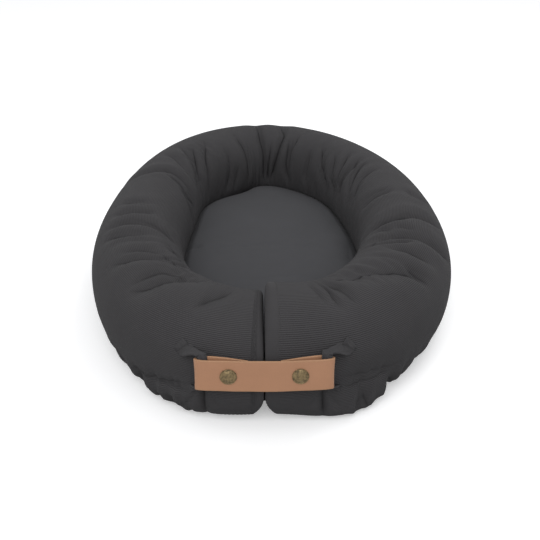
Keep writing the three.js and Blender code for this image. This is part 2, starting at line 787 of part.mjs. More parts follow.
// Cloth loops: a tape sewn to the bolster over the strap, through the strap's bend and sewn on below it
function loopTape(side) {
  const stops = [];
  const sewnOn = (distance, height) => {
    const { place, along, out } = bolsterFront(distance, height, side);
    place.addScaledVector(out, loopThickness / 2 + seatGap);
    stops.push({ place, across: along, shift: sway(distance) });
  };
  const threaded = (x, height) => {
    const place = strapMiddle.clone();
    place.x += x;
    place.addScaledVector(strapForward, seatGap + loopThickness / 2 - tabFace);
    place.addScaledVector(strapUp, height);
    stops.push({ place, across: new THREE.Vector3(1, 0, 0), shift: 0 });
  };
  const middleX = plyEnd - loopWidth / 2 - loopThickness;
  const edge = strapWidth / 2 + loopThickness;
  const upperHeight = loopUpperShare * bolsterHeight;
  const lowerHeight = loopLowerShare * bolsterHeight;
  sewnOn(middleX + loopUpperSpread, upperHeight + loopSewnLength);
  sewnOn(middleX + loopUpperSpread, upperHeight);
  threaded(middleX, edge);
  threaded(middleX, -edge);
  sewnOn(middleX + loopLowerSpread, lowerHeight);
  sewnOn(middleX + loopLowerSpread, lowerHeight - loopSewnLength);
  const rings = stops.map(({ place, across, shift }, i) => {
    const before = stops[Math.max(i - 1, 0)].place;
    const after = stops[Math.min(i + 1, stops.length - 1)].place;
    const thick = after.clone().sub(before).cross(across).normalize();
    return [[-1, -1], [1, -1], [1, 1], [-1, 1]].map(([a, b]) => {
      const corner = place.clone().addScaledVector(across, (a * loopWidth) / 2);
      corner.addScaledVector(thick, (b * loopThickness) / 2);
      corner.x = side * corner.x + shift;
      return corner;
    });
  });
  return solidFromRings(rings, false);
}

addPiece(lounger, "loop_tape_left", loopTape(-1), clothColour, clothRoughness);
addPiece(lounger, "loop_tape_right", loopTape(1), clothColour, clothRoughness);

export default lounger;
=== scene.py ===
"""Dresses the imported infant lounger: ribbed cloth, lying pad, leather strap, press studs and zip."""

import math

import bmesh
import bpy
import numpy as np
from bpy.props import FloatProperty, FloatVectorProperty, IntProperty, PointerProperty
from mathutils import Matrix, Vector


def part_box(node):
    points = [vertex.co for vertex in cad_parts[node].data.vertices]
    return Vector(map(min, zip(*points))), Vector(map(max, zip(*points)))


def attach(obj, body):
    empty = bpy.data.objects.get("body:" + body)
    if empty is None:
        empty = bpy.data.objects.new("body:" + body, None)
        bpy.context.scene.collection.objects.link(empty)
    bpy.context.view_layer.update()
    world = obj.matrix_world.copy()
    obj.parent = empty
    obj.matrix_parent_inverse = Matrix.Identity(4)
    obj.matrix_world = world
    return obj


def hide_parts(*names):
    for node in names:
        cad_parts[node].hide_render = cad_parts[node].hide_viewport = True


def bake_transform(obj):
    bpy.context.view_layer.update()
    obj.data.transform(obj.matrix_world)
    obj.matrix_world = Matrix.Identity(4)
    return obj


bl_info = {
    "name": "Infant Lounger",
    "version": (1, 0, 0),
    "blender": (4, 5, 0),
    "location": "3D View > Sidebar > Lounger",
    "description": "Makes the cloth, leather, studs and zip of a stuffed infant lounger, and a studio",
    "category": "Object",
}

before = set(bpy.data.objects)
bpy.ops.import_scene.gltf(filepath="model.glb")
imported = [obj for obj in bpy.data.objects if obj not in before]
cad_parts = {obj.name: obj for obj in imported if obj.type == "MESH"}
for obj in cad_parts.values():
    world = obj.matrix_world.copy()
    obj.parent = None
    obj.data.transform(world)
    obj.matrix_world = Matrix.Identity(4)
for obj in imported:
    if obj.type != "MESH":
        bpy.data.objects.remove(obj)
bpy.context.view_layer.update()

# Heights read from the frame
SECTION_LOW, SECTION_HIGH = (corner[2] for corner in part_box("bolster_cover_right"))
PAD_LOW, PAD_HIGH = (corner[2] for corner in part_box("lying_panel"))
BASE_LOW, BASE_HIGH = (corner[2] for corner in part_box("base_panel"))

# What counts as nothing, and how near points are when they are joined
TINY = 1e-12
JOIN_DISTANCE = 1e-6

# The bolster's plan and section, as the solids have them
BOLSTER_WIDTH = 0.122
SPLIT_HALF = 0.0008
PLAN_HALF_WIDTH = 0.177
PLAN_HALF_LENGTH = 0.329
SECTION_FLAT = 0.003
SECTION_MIDDLE = 0.066
SECTION_ROUND = 0.39
PLAN_STEP = 0.004
CURVE_POINTS = 2001

# How the ends turn away from the split: how far along, by the sine below and above, and the share above
SPLIT_SPREAD = 0.014
SPLIT_BELOW = (0.3, 1)
SPLIT_ABOVE = (0.6, 1)
SPLIT_ABOVE_SHARE = 0.04

# The cloth's grid: where its finer steps end, beside the split, and how much finer they are
END_STRIP = 0.065
END_STEP_SHARE = 0.6

# How the stuffing has settled: where along the bolster, over what length and how far out
MIDDLE_SWAY = 0.0103
TOP_DROP = 0.0017
HEAD_DROP = 0.0064
HEAD_DROP_SPREAD = 0.25
OUTER_HUMPS = ((0.2, 0.12, 0.0057), (1.445, 0.12, -0.0023), (0.66, 0.09, -0.001))
INNER_HUMPS = ((0.36, 0.16, 0.006), (0.62, 0.1, 0.0095), (0.915, 0.06, -0.011), (1.05, 0.08, 0.0105),
               (1.3, 0.16, 0.004))
LOWER_HUMPS = ((0.076, 0.045, 0.036, 3), (0.05, 0.03, 0.007, 1), (1.59, 0.05, 0.0145, 1),
               (1.565, 0.035, 0.007, 1.5), (1.485, 0.11, -0.0023, 1))
LOWER_FALL = 4.5
END_LIFT = (0.0075, -0.0035)
END_LIFT_SPREAD = 0.055

# The bolster's rounded ends: turns of the rounding, its shares in front and above, rings of the face, where
# the faces meet, and their map
END_TURNS = (15, 30, 45, 60, 75, 90)
END_ROUNDING_SHARES = (0.3, 1.3)
END_FACE_RINGS = 8
END_MEETS = 0.0001
END_MAP = (-0.0002, -0.06)

# Seams of the bolster's ends: depth and half width in millimetres, then distances along in metres and degrees
# round. The plain strip is on the right, the bias strip on the left
STRIP_LEFT = 0.0078
SEAM_RIGHT = ((0.0136, 150), (0.0133, 111), (0.0125, 78), (0.0116, 50), (0.0108, 25), (0.0105, 0),
              (0.0105, -30))
SEAM_LEFT = ((1.6372, 150), (1.6372, 110), (1.6374, 70), (1.6378, 30), (1.6382, 0), (1.6385, -30))
STITCHED = ((1.6, 1.0, SEAM_RIGHT), (0.9, 1.0, SEAM_LEFT))
SEAMS = (
    (6.0, 2.0, ((1.6020, 2), (1.6010, -10), (1.6005, -25), (1.6000, -45), (1.5990, -75))),
    (6.0, 2.0, ((0.0415, 2), (0.0418, -10), (0.0425, -25), (0.0435, -45), (0.0450, -75))),
    (2.6, 2.0, ((1.596, -14), (1.591, -24), (1.584, -40), (1.580, -60))),
    (2.0, 1.8, ((1.606, -12), (1.609, -22), (1.611, -36))),
    (2.6, 2.0, ((0.044, -10), (0.048, -20), (0.053, -32), (0.057, -50))),
    (2.0, 1.8, ((0.038, -12), (0.035, -24), (0.033, -36))),
)

# Stitches: their lines along and round the bolster, then their pitch, length, lift from it and thickness
STITCH_LINES = (
    ((0.0141, 135), (0.0138, 111), (0.0130, 78), (0.0121, 50), (0.0113, 25), (0.0110, 5)),
    ((1.6380, 60), (1.6383, 30), (1.6387, 5)),
    ((1.6060, -52), (1.6200, -54), (1.6320, -53), (1.6410, -48)),
    ((0.0060, -46), (0.0160, -52), (0.0280, -54), (0.0400, -53)),
)
SEAM_STEPS = 60
STITCH_PITCH = 0.0042
STITCH_LENGTH = 0.003
STITCH_LIFT = 0.0001
STITCH_THICKNESS = 0.0005

# Where the cloth is plain or runs on the bias: below the strap, on the strips and on the ends' faces
PILLOW_DEGREES = (16, 26)
PILLOW_END = (0.046, 0.056)
PILLOW_SHARE = 0.75
STRIP_BLEND = 0.0008
BIAS_BLEND = 0.001
FACE_BLEND = (0.0005, 0.002)

# Spare cloth for each length of bolster: how it changes along the bolster, and round it by degrees
SPARE_ALONG = ((0, 0), (0.06, 0), (0.14, 0.7), (0.5, 0.8), (0.82, 1.4), (1.2, 0.9), (1.5, 0.6), (1.58, 0),
               (1.65, 0))
SPARE_ROUND = ((-90, 0.01), (-30, 0.005), (0, 0), (45, 0), (90, 0.01), (130, 0.02), (180, 0.03), (270, 0.02))
TIER_ALONG = ((0, 0), (0.045, 0), (0.07, 0.8), (0.13, 0.6), (0.19, 0.25), (0.4, 0.1), (0.82, 0.3),
              (1.25, 0.2), (1.45, 0.5), (1.53, 0.9), (1.575, 0.9), (1.6, 0), (1.65, 0))
TIER_ROUND = ((-90, 0.6), (-70, 1), (-45, 1), (-25, 0.35), (-12, 0), (270, 0))
# Depth of crease where the most cloth is bunched, and rounds in which the bunching and the swelling even out
BUNCHED_DEPTH = 0.003
BUNCH_ROUNDS = 5
SWELLING_ROUNDS = 14

# Small folds: length and strength of their waves, how many of each, and the least and most of their slant,
# stretch and sway
FOLD_WAVES = ((0.026, 1.0), (0.017, 0.6), (0.041, 0.7))
WAVES_EACH = 3
WAVE_LEAST = (-0.25, 0.85, 8)
WAVE_MOST = (0.25, 1.15, 15)
WAVE_BEND = 1.2
# Their share of height all round, what the inner side has more, and the least
FOLD_SHARES = (0.25, 0.9, 0.05)

# The cloth's threads: steps spanned, along (0) or round (1) the bolster, the share of their cut length that
# they keep, and how hard they push and pull
THREADS = ((1, 0, 1.0, 0.45, 0.25), (1, 1, 1.0, 0.4, 0.4), (2, 0, 0.9, 0.25, 0), (4, 0, 0.8, 0.12, 0),
           (2, 1, 0.97, 0.2, 0))
# Depth from which a crease is drawn in wholly
PRESSED_DEPTH = 0.004

# How a crease fades towards its ends, how much deeper it is on top by degrees round, and its section in half
# widths: reach without and with shoulders, width of the shoulders, and height, place and width of its ridge
CREASE_FADE = 0.34
CREASE_DEEPER = ((-90, 1), (20, 1), (50, 1.7), (95, 1.7), (125, 1.1), (270, 1.1))
CREASE_REACHES = (5, 13)
SHOULDER_WIDTH = 3.5
RIDGE = (0.25, 4.5, 2.5)

# The sharp bottoms of creases, in the mesh: share of the crease's depth, most depth and half width
SHARP_SHARE = 0.3
SHARP_MOST = 0.0016
SHARP_WIDTH = 0.002

# Fine creases: main creases that have them are shallower and begin farther from the split; then the least and
# most of their shift, of its share at either end, of their share of the depth, and of their half width
FINE_BELOW = 0.0092
FINE_FROM = 0.09
FINE_SHIFT = (0.0035, 0.014)
FINE_SHIFT_SHARES = ((0.3, 1.2), (0.5, 1.5))
FINE_DEPTH_SHARES = (0.14, 0.3)
FINE_WIDTH = (0.0018, 0.003)

# The bottoms of creases in the finish, drawn as a bump and as painted shade: reach, half width, fall of one
# crease's hold over another's, what is taken off a main crease's depth, shares of the depth that count, bump,
# and depth of full painted shade
CORE_REACH = 0.005
CORE_WIDTH = 0.0011
CORE_FALL = 0.003
CORE_FROM = 0.0015
CORE_SHARES = {"main": 0.75, "fine": 0.8, "stitched": 0.4}
CORE_BUMP = 420.0
CORE_FULL_SHADE_DEPTH = 0.005

# Where the cloth lies fast on the base: by the sine, and by degrees on the outer and the inner side
LAID_SINE = (0.93, 0.99)
LAID_FLAT = ((-88, -80), (250, 262))

# The main creases: depth and half width in millimetres, then distances along in metres and degrees round
CREASES = (
    (7.5, 4, ((0.395, 150), (0.398, 140), (0.399, 130), (0.399, 118), (0.397, 105), (0.404, 93))),
    (4, 4, ((0.399, 88), (0.398, 78), (0.393, 72), (0.386, 69), (0.380, 54), (0.376, 38))),
    (9.5, 4.5, ((0.305, 160), (0.287, 141), (0.292, 132), (0.297, 120), (0.301, 105), (0.309, 90),
            (0.311, 78), (0.312, 64), (0.313, 57), (0.315, 44), (0.316, 28))),
    (6.5, 3.5, ((0.279, 144), (0.279, 130), (0.287, 118), (0.290, 105), (0.298, 92), (0.300, 81))),
    (3.5, 3, ((0.255, 100), (0.264, 93), (0.264, 82), (0.265, 74))),
    (11, 4.5, ((0.204, 130), (0.215, 122), (0.230, 112), (0.238, 100), (0.246, 87), (0.248, 72),
            (0.249, 57), (0.251, 42), (0.255, 26), (0.258, 8))),
    (5, 3, ((0.257, 128), (0.263, 118), (0.256, 105), (0.255, 100))),
    (7, 3.5, ((0.203, 124), (0.210, 114), (0.216, 100), (0.221, 90), (0.228, 78), (0.232, 69))),
    (5.5, 4, ((0.194, 100), (0.197, 88), (0.202, 78), (0.205, 66), (0.205, 52), (0.205, 42))),
    (2.2, 6.5, ((0.088, 146), (0.096, 126), (0.108, 111), (0.126, 105), (0.145, 105), (0.163, 102),
            (0.173, 94), (0.176, 82), (0.174, 70), (0.171, 60))),
    (7.5, 6, ((0.076, 128), (0.084, 110), (0.097, 97), (0.116, 93), (0.132, 89), (0.146, 79), (0.158, 69),
            (0.166, 58), (0.170, 44), (0.170, 32))),
    (5, 4, ((0.170, 72), (0.173, 62), (0.174, 52), (0.176, 40), (0.173, 30))),
    (5, 4, ((0.072, 116), (0.077, 102), (0.081, 88), (0.081, 76), (0.081, 64), (0.082, 50))),
    (4.5, 4, ((0.060, 112), (0.065, 98), (0.069, 88), (0.067, 76), (0.066, 64), (0.067, 50))),
    (3, 4, ((0.050, 104), (0.053, 90), (0.055, 76), (0.055, 62))),
    (10, 4, ((1.180, 35), (1.174, 52), (1.167, 68), (1.157, 82), (1.149, 100), (1.147, 116), (1.150, 132),
            (1.154, 147), (1.155, 164), (1.156, 176))),
    (6, 3, ((1.169, 100), (1.169, 117), (1.171, 135), (1.175, 153), (1.168, 171), (1.176, 180))),
    (6, 3.5, ((1.189, 130), (1.185, 146), (1.188, 160), (1.192, 174), (1.204, 182))),
    (5, 4, ((1.313, 57), (1.320, 72), (1.323, 92), (1.323, 105), (1.321, 117))),
    (4.5, 3.5, ((1.280, 62), (1.286, 78), (1.290, 93), (1.293, 110))),
    (8, 4, ((1.353, 46), (1.353, 62), (1.355, 78), (1.361, 94), (1.367, 112), (1.375, 128), (1.385, 142),
            (1.393, 156))),
    (5.5, 3.5, ((1.377, 42), (1.382, 58), (1.392, 78), (1.400, 93), (1.411, 110))),
    (2.5, 3, ((1.403, 51), (1.406, 64), (1.414, 81), (1.423, 96), (1.435, 106))),
    (6.5, 4, ((1.440, 40), (1.449, 54), (1.456, 68), (1.463, 84), (1.476, 99), (1.494, 111), (1.520, 117),
            (1.545, 124))),
    (4.5, 3.5, ((1.430, 56), (1.438, 72), (1.447, 92), (1.460, 106), (1.480, 117), (1.508, 124),
            (1.535, 132))),
    (6, 3, ((1.415, 122), (1.427, 130), (1.445, 136), (1.470, 136), (1.500, 134), (1.530, 142))),
    (5, 4.5, ((1.498, 46), (1.502, 60), (1.505, 74), (1.510, 88), (1.522, 98), (1.540, 106), (1.560, 116))),
    (8, 5.5, ((1.500, 40), (1.511, 52), (1.520, 66), (1.525, 80), (1.531, 91), (1.545, 101), (1.562, 112),
            (1.575, 124))),
    (5, 3.5, ((1.578, 58), (1.586, 68), (1.591, 78), (1.599, 88), (1.606, 100), (1.610, 114))),
    (7, 4.5, ((0.955, 90), (0.989, 118), (1.012, 140), (1.025, 160), (1.038, 180), (1.049, 186))),
    (8, 4.5, ((1.008, 96), (1.032, 118), (1.049, 138), (1.066, 158), (1.083, 174), (1.101, 180))),
    (4.5, 4, ((0.943, 132), (0.957, 153), (0.963, 176), (0.972, 190), (0.977, 202))),
    (6.5, 3.5, ((0.896, 102), (0.895, 123), (0.893, 141), (0.893, 165), (0.896, 186), (0.908, 206))),
    (4, 3.5, ((0.930, 160), (0.942, 178), (0.950, 190), (0.953, 204))),
    (3, 3, ((0.872, 120), (0.878, 146), (0.882, 170), (0.884, 188))),
    (9, 4, ((0.836, 55), (0.833, 88), (0.829, 128), (0.822, 154), (0.820, 178), (0.820, 192),
            (0.813, 204))),
    (8, 3.5, ((0.800, 130), (0.799, 154), (0.804, 178), (0.808, 190), (0.809, 207))),
    (9, 4, ((0.800, 58), (0.790, 86), (0.774, 114), (0.772, 134), (0.773, 159), (0.781, 180), (0.795, 192),
            (0.799, 210))),
    (6, 3, ((0.755, 111), (0.746, 134), (0.740, 156), (0.736, 178), (0.728, 190), (0.726, 204))),
    (6, 3.5, ((0.739, 99), (0.732, 128), (0.732, 148), (0.726, 171), (0.731, 188))),
    (4, 4, ((0.684, 136), (0.673, 156), (0.674, 177), (0.671, 190))),
    (6, 4, ((0.673, 108), (0.653, 129), (0.640, 146), (0.624, 160), (0.598, 176), (0.574, 183))),
    (6, 3.5, ((0.629, 111), (0.608, 130), (0.596, 146), (0.584, 162), (0.555, 176), (0.534, 182))),
    (7, 3.5, ((0.591, 99), (0.581, 117), (0.572, 135), (0.565, 152), (0.552, 165), (0.528, 177))),
    (9, 4, ((0.562, 92), (0.546, 114), (0.538, 130), (0.537, 147), (0.534, 164), (0.524, 174),
            (0.504, 180))),
    (8, 4, ((0.538, 88), (0.524, 114), (0.512, 132), (0.498, 147), (0.482, 160), (0.461, 171))),
    (5, 3.5, ((0.497, 87), (0.490, 108), (0.482, 126), (0.469, 144), (0.456, 159), (0.438, 170))),
    (5, 4, ((1.011, 68), (1.035, 96), (1.055, 123), (1.074, 144), (1.096, 160), (1.114, 176))),
    (4, 3.5, ((1.052, 63), (1.080, 93), (1.099, 118), (1.113, 141), (1.121, 162))),
    (5, 3.5, ((1.600, -8), (1.583, -10), (1.569, -14), (1.552, -18), (1.536, -24), (1.515, -32))),
    (3.5, 3, ((1.597, -12), (1.584, -16), (1.573, -18), (1.561, -20), (1.545, -30))),
    (4, 3.5, ((0.045, -6), (0.061, -5), (0.074, -7), (0.088, -9), (0.105, -12), (0.130, -15))),
    (4.5, 3.5, ((0.045, -9), (0.060, -14), (0.072, -15), (0.086, -16), (0.100, -17), (0.120, -24))),
    (5, 5, ((1.548, -34), (1.540, -50), (1.535, -70))),
    (5, 5, ((1.520, -38), (1.512, -55), (1.508, -72))),
    (5, 5, ((1.572, -30), (1.570, -48), (1.567, -68))),
    (4, 5, ((1.485, -35), (1.480, -52), (1.478, -70))),
    (4, 5, ((1.440, -38), (1.437, -55), (1.435, -70))),
    (5, 5, ((0.075, -26), (0.078, -45), (0.080, -68))),
    (5, 5, ((0.105, -30), (0.110, -48), (0.112, -68))),
    (5, 5, ((0.140, -28), (0.146, -48), (0.148, -68))),
    (4, 5, ((0.180, -32), (0.186, -50), (0.188, -70))),
    (4, 5, ((0.230, -36), (0.236, -52), (0.238, -70))),
)

# The pad: its rim and foot, how it has sunk at the head, and the rings of its top, its side and its underside
PAD_RIM = 0.0355
PAD_FOOT = 0.009
PAD_GAP = 0.0004
PAD_DROPS = ((0.93, 0.1, 0.005), (0.72, 0.1, 0.003))
PAD_DROP_FROM_SHARE = 0.55
PAD_EDGE_FROM_SHARE = 0.9
PAD_TOP_INSET = 0.0572
PAD_FOOT_INSET = 0.0480
PAD_STEP_SHARE = 0.8
PAD_CROWN_POWER = 2.2
PAD_EDGE_POWER = 1.5
PAD_WAVE_POWER = 4
PAD_TOP_RINGS = 64
PAD_SIDE_SHARES = (0.35, 0.7, 1.0)
PAD_BELOW = ((1.0, 0.002), (0.98, 0.0002), (0.6, 0.0002), (0.0, 0.0002))

# The pad's creases: depth and half width in millimetres, then places on its top in metres
PAD_CREASES = (
    (0.9, 6, ((-0.100, -0.022), (-0.034, -0.022), (0.024, -0.019), (0.115, -0.034))),
    (0.8, 7, ((-0.060, -0.130), (-0.010, -0.124), (0.049, -0.116), (0.070, -0.118))),
    (3.0, 5, ((-0.125, -0.013), (-0.105, -0.014), (-0.085, -0.016))),
    (3.5, 11, ((0.128, 0.020), (0.124, -0.035), (0.122, -0.085))),
)

# The base panel: how far it reaches past the middle line, how it is drawn in at the split, and its zip slot
BASE_OVERHANG = 0.041
BASE_DRAWN_IN = 0.03
BASE_SPREAD = 0.07
BASE_STEPS = 240
BASE_BEVEL = 0.0012
BASE_SHARP_DEGREES = 30
SLOT_END = 0.0005
SLOT_SIDE = 0.0004

# The elastic: its path under the bolster, its section by half width, half thickness, rounding and columns,
# and how its gathers rise and spread
ELASTIC_FROM = 0.059
ELASTIC_OFFSET = 0.036
ELASTIC_HEIGHT = 0.0047
ELASTIC_STATIONS = 700
ELASTIC_SECTION = (0.003, 0.0003, 0.0001, 6)
ELASTIC_SHARP_DEGREES = 40
ELASTIC_RISE = 0.00006
ELASTIC_SPREAD_SHARE = 0.06

# The strap's own frame, its sizes and how its path and its outline are divided
ACROSS = np.array((1.0, 0.0, 0.0))
STRAP_LEAN = math.radians(4.5)
STRAP_FORWARD = np.array((0.0, -math.cos(STRAP_LEAN), math.sin(STRAP_LEAN)))
STRAP_UP = np.array((0.0, math.sin(STRAP_LEAN), math.cos(STRAP_LEAN)))
STRAP_MIDDLE = np.mean(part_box("strap_front"), axis=0)
STRAP_HALF_WIDTH = 0.0168
STRAP_HALF_LENGTH = 0.069
STRAP_BACK = 0.0094
LEATHER_THICKNESS = 0.0022
LEATHER_ROUNDING = 0.0006
STUD_SPACING = 0.071
STRAP_STEPS = 12
STRAP_COLUMNS = 22
# The right half of the strap's path: across, forward and up, in millimetres
STRAP_PATH = ((0, 0, 0), (20, 0, 0), (35, 0, 0), (48, -0.3, 0), (57, -0.8, 0), (63, -1.6, 0),
              (66.6, -3.2, -0.2), (68.0, -5.4, -0.5), (66.8, -7.7, -0.7), (63.4, -9.2, -0.6), (59, -9.2, 0),
              (53, -8.4, 0.6), (45, -7.3, 0.3), (36, -7, -0.6), (27, -7, -1.8), (19, -7, -3.0))
# The wander of the leather's cut: least and most pitch and start of its waves, and how many there are
CUT_WAVES = ((60, 0), (260, 6.3), (5, 2))
# How far from the cut edges the leather turns pale, and is palest
PALE_EDGE = (0.0022, 0.0004)

# The cloth behind the strap: where it is pressed in deeper, by how much, and how the press ends
BEHIND_FOLDS = (0.045, 0.06)
BEHIND_DEEPER = 0.004
BEHIND_ABOVE = 0.01
BEHIND_BESIDE = 0.015
BEHIND_REACH = 0.05

# Press stud cap, from the middle of its dome to the end of its tube: out from its middle and forward
CAP_OUTLINE = ((0, 4.0), (1.6, 3.93), (3.4, 3.68), (5.2, 3.2), (6.4, 2.66), (7.0, 2.25), (7.35, 2.08),
               (7.7, 2.3), (8.1, 2.4), (8.35, 2.25), (8.5, 2.0), (8.45, 1.7), (8.2, 1.5), (7.8, 1.42),
               (1.8, 1.42), (1.8, -2.2), (0, -2.2))
CAP_STEPS = 56
CAP_SHARP_DEGREES = 35

# Cloth loops: distance from the split, degrees and half width at the tack and the lower end, and between
# them places in the strap's frame with the half width
LOOP_TACK = ((0.0640, 24.5, 7.2), (0.0612, 22.0, 7.5), (0.0584, 19.5, 7.0))
LOOP_STOPS = ((64.5, -9.5, 20.4, 5.6), (61.8, -6.0, 18.6, 5.2), (60.8, -5.0, 12, 4.7), (60.4, -5.0, 0, 4.6),
              (60.4, -5.2, -13, 4.8), (60.8, -7.2, -18.5, 5.0))
LOOP_LOW_END = ((0.0500, -10, 5.0), (0.0495, -13, 5.0))
LOOP_LIFT = 0.0006
LOOP_STEPS = 10
LOOP_COLUMNS = 16
LOOP_ROUNDING_DIVISOR = 2.2
# How much of its fold a loop has, by the share of its length
LOOP_CRUMPLE = ((0, 0.1), (0.18, 0.3), (0.4, 1), (0.75, 1), (1, 0.3))

# Bar tacks: their turn away from the split and down, share of the loop's width, lift, slant and thickness
TACK_TURN = (0.66, 0.75)
TACK_WIDTH_SHARE = 0.92
TACK_LIFT = 0.0004
TACK_REACH = (0.0014, 0.0007)
TACK_THICKNESS = 0.0007

# Small steps along and round the bolster, to find its directions
STEP_ALONG = 0.002
STEP_ROUND = 0.03

# Finishes of a band, by number: its face, its back and its cut edges
FACE, BACK, EDGE = 0, 1, 2

# The photograph's camera: its place, its turn to the left and down, its lens and its sensor in millimetres
CAMERA_PLACE = (-0.0013, -1.0125, 0.495)
CAMERA_TURN = (-0.011, 0.4614)
CAMERA_LENS = 50
CAMERA_SENSOR = 36

# The studio: the floor, its light as the lounger gets it, and the lamps by place, size and power
FLOOR_RADIUS = 12
FLOOR_BELOW = -0.0002
FLOOR_UNSEEN = 0.3
SKY_COLOUR = (0.97, 0.98, 1, 1)
LAMPS = (("key", (1.1, 0.8, 2.4), 1.4, 14.0), ("fill", (-0.35, -2.2, 1.7), 2.4, 33.0))


def length_property(name, description, default, **more):
    return FloatProperty(name=name, description=description, default=default, unit="LENGTH", **more)


def factor_property(name, description, default):
    return FloatProperty(name=name, description=description, default=default)


def whole_property(name, description, default):
    return IntProperty(name=name, description=description, default=default)


def colour_property(name, description, *default):
    return FloatVectorProperty(name=name, description=description, subtype="COLOR", size=3, default=default)


class LoungerSizes(bpy.types.PropertyGroup):
    """Sizes of the pieces that the scene makes."""

    foot_exponent: factor_property("Foot Squareness", "Exponent of the plan's curve towards the foot", 2.1)
    head_exponent: factor_property("Head Squareness", "Exponent of the plan's curve towards the head", 2.2)
    head_taper: factor_property("Head Taper", "Share by which the plan is narrower at the head", 0.09)
    upper_exponent: factor_property("Top Squareness", "Exponent of the bolster's section above", 2.05)
    lower_exponent: factor_property("Underside Squareness", "Exponent of the bolster's section below", 2.8)
    cloth_step: length_property("Cloth Step", "Size of the cloth's facets", 0.005)
    end_rounding: length_property("End Rounding", "Rounding of the bolster's ends", 0.006)
    split_opening: length_property("Split Opening", "How far each end turns away from the split", 0.0085)
    crease_seed: whole_property("Crease Seed", "Picks other small folds and fine creases", 7)
    small_folds: length_property("Small Folds", "Height of the small folds", 0.0004)
    settling_steps: whole_property("Settling Steps", "Steps in which the cloth settles", 120)
    cloth_stiffness: factor_property("Cloth Stiffness", "How much the cloth evens out its bends", 0.03)
    crease_pull: factor_property("Crease Pull", "How hard the main creases draw in", 0.8)
    stuffing_push: length_property("Stuffing Push", "Push of the stuffing in each step", 3e-5, precision=6)
    crease_shoulders: factor_property("Crease Shoulders", "Share of each crease with wide shoulders", 0.42)
    most_pressed: length_property("Deepest Crease", "How far creases draw in where they cross", 0.0115)
    most_in: length_property("Deepest Fold", "How far the cloth may fold inwards", 0.016)
    most_out: length_property("Highest Fold", "How far the cloth may fold outwards", 0.007)
    most_slip: length_property("Most Slip", "How far the cloth may slide", 0.009)
    bunching: factor_property("Bunching", "Spare cloth where the main creases are", 0.16)
    tier_spare: factor_property("Lower Gathers", "Spare cloth low on the outside", 0.22)
    tier_folds: length_property("Lower Folds", "Height of the lower folds at their start", 0.0025)
    beside_creases: whole_property("Fine Creases", "Fine creases beside each shallow main one", 2)
    settle_back: factor_property("Settle Back", "Share of the cloth's swelling that is taken back", 0.85)
    pad_edge: length_property("Pad Edge", "How far the pad's rim is drawn down", 0.006)
    pad_wander: length_property("Pad Unevenness", "Height of the soft waves on the pad", 0.0004)
    elastic_ripple: length_property("Elastic Ripple", "Distance from gather to gather of the elastic", 0.009)
    strap_sag: length_property("Strap Sag", "How far the strap's middle hangs", 0.0012)
    cut_wander: length_property("Cut Unevenness", "Wander of the leather's cut", 0.0004)
    leather_seed: whole_property("Leather Seed", "Picks another wander of the leather's cut", 3)
    loop_thickness: length_property("Loop Thickness", "Thickness of the loops' tape", 0.0013)
    loop_crease: length_property("Loop Crease", "Depth of the loops' lengthwise fold", 0.0027)
    tack_stitches: whole_property("Bar Tack Stitches", "Stitches of each bar tack", 7)
    rib_pitch: length_property("Rib Pitch", "Distance from rib to rib", 0.00205)
    sky_strength: factor_property("Sky Strength", "Light of the sky on the lounger", 0.71)
    floor_glow: factor_property("Floor Glow", "Light of the floor where it is seen", 0.3)


class LoungerColours(bpy.types.PropertyGroup):
    """Colours of the finishes, and how strong their sheen and their painted shade in creases and between ribs
    are.
    """

    cloth: colour_property("Cloth", "Ribbed cloth and tape", 0.058, 0.056, 0.058)
    pad: colour_property("Pad Cloth", "Smooth cloth of the pad", 0.067, 0.067, 0.071)
    base: colour_property("Base Cloth", "Cloth of the base panel", 0.045, 0.045, 0.047)
    elastic: colour_property("Elastic", "Gathering elastic", 0.02, 0.02, 0.022)
    thread: colour_property("Thread", "Thread of the stitches and bar tacks", 0.075, 0.072, 0.074)
    leather: colour_property("Leather", "Grain side of the strap", 0.387, 0.199, 0.112)
    leather_edge: colour_property("Leather Edge", "Cut edges of the strap", 0.33, 0.19, 0.1)
    leather_flesh: colour_property("Leather Flesh Side", "Rough side of the strap", 0.22, 0.12, 0.052)
    brass: colour_property("Antique Brass", "Press studs where they are rubbed", 0.19, 0.14, 0.074)
    brass_aged: colour_property("Aged Brass", "Press studs where they have aged", 0.07, 0.055, 0.035)
    zip_metal: colour_property("Zip Metal", "Metal of the zip where it is rubbed", 0.2, 0.19, 0.17)
    zip_aged: colour_property("Aged Zip Metal", "Metal of the zip where it has aged", 0.06, 0.055, 0.05)
    zip_plastic: colour_property("Zip Teeth", "Moulded teeth of the zip", 0.02, 0.02, 0.022)
    floor: colour_property("Floor", "Floor of the studio", 0.92, 0.92, 0.92)
    cloth_sheen: factor_property("Cloth Sheen", "Sheen of all the cloth", 0.03)
    # Painted shade: how far the colour is darkened along the bottoms of the deepest creases
    painted_crease_shade: factor_property("Painted Crease Shade", "Darkening of the deepest creases", 0.78)
    # Painted shade: how far the colour is darkened in the grooves between the ribs
    painted_rib_shade: factor_property("Painted Rib Shade", "Darkening between the ribs", 0.45)


def sizes():
    return bpy.context.scene.lounger_sizes


def colours():
    return bpy.context.scene.lounger_colours


# Helpers that every piece uses


def signed_power(value, power):
    return np.sign(value) * np.abs(value) ** power


def unit(vectors):
    return vectors / (np.linalg.norm(vectors, axis=-1, keepdims=True) + TINY)


def smoothstep(value, low, high):
    share = np.clip((value - low) / (high - low), 0, 1)
    return share * share * (3 - 2 * share)


def look_up(rows, value):
    """The value of a table of pairs, read between its rows."""
    return np.interp(value, *zip(*rows))


def degrees_round(angle):
    """Angles as degrees from -90, below, by 0 on the outer side and 90 on top to 180 on the inner side."""
    return (np.degrees(angle) + 450) % 360 - 90


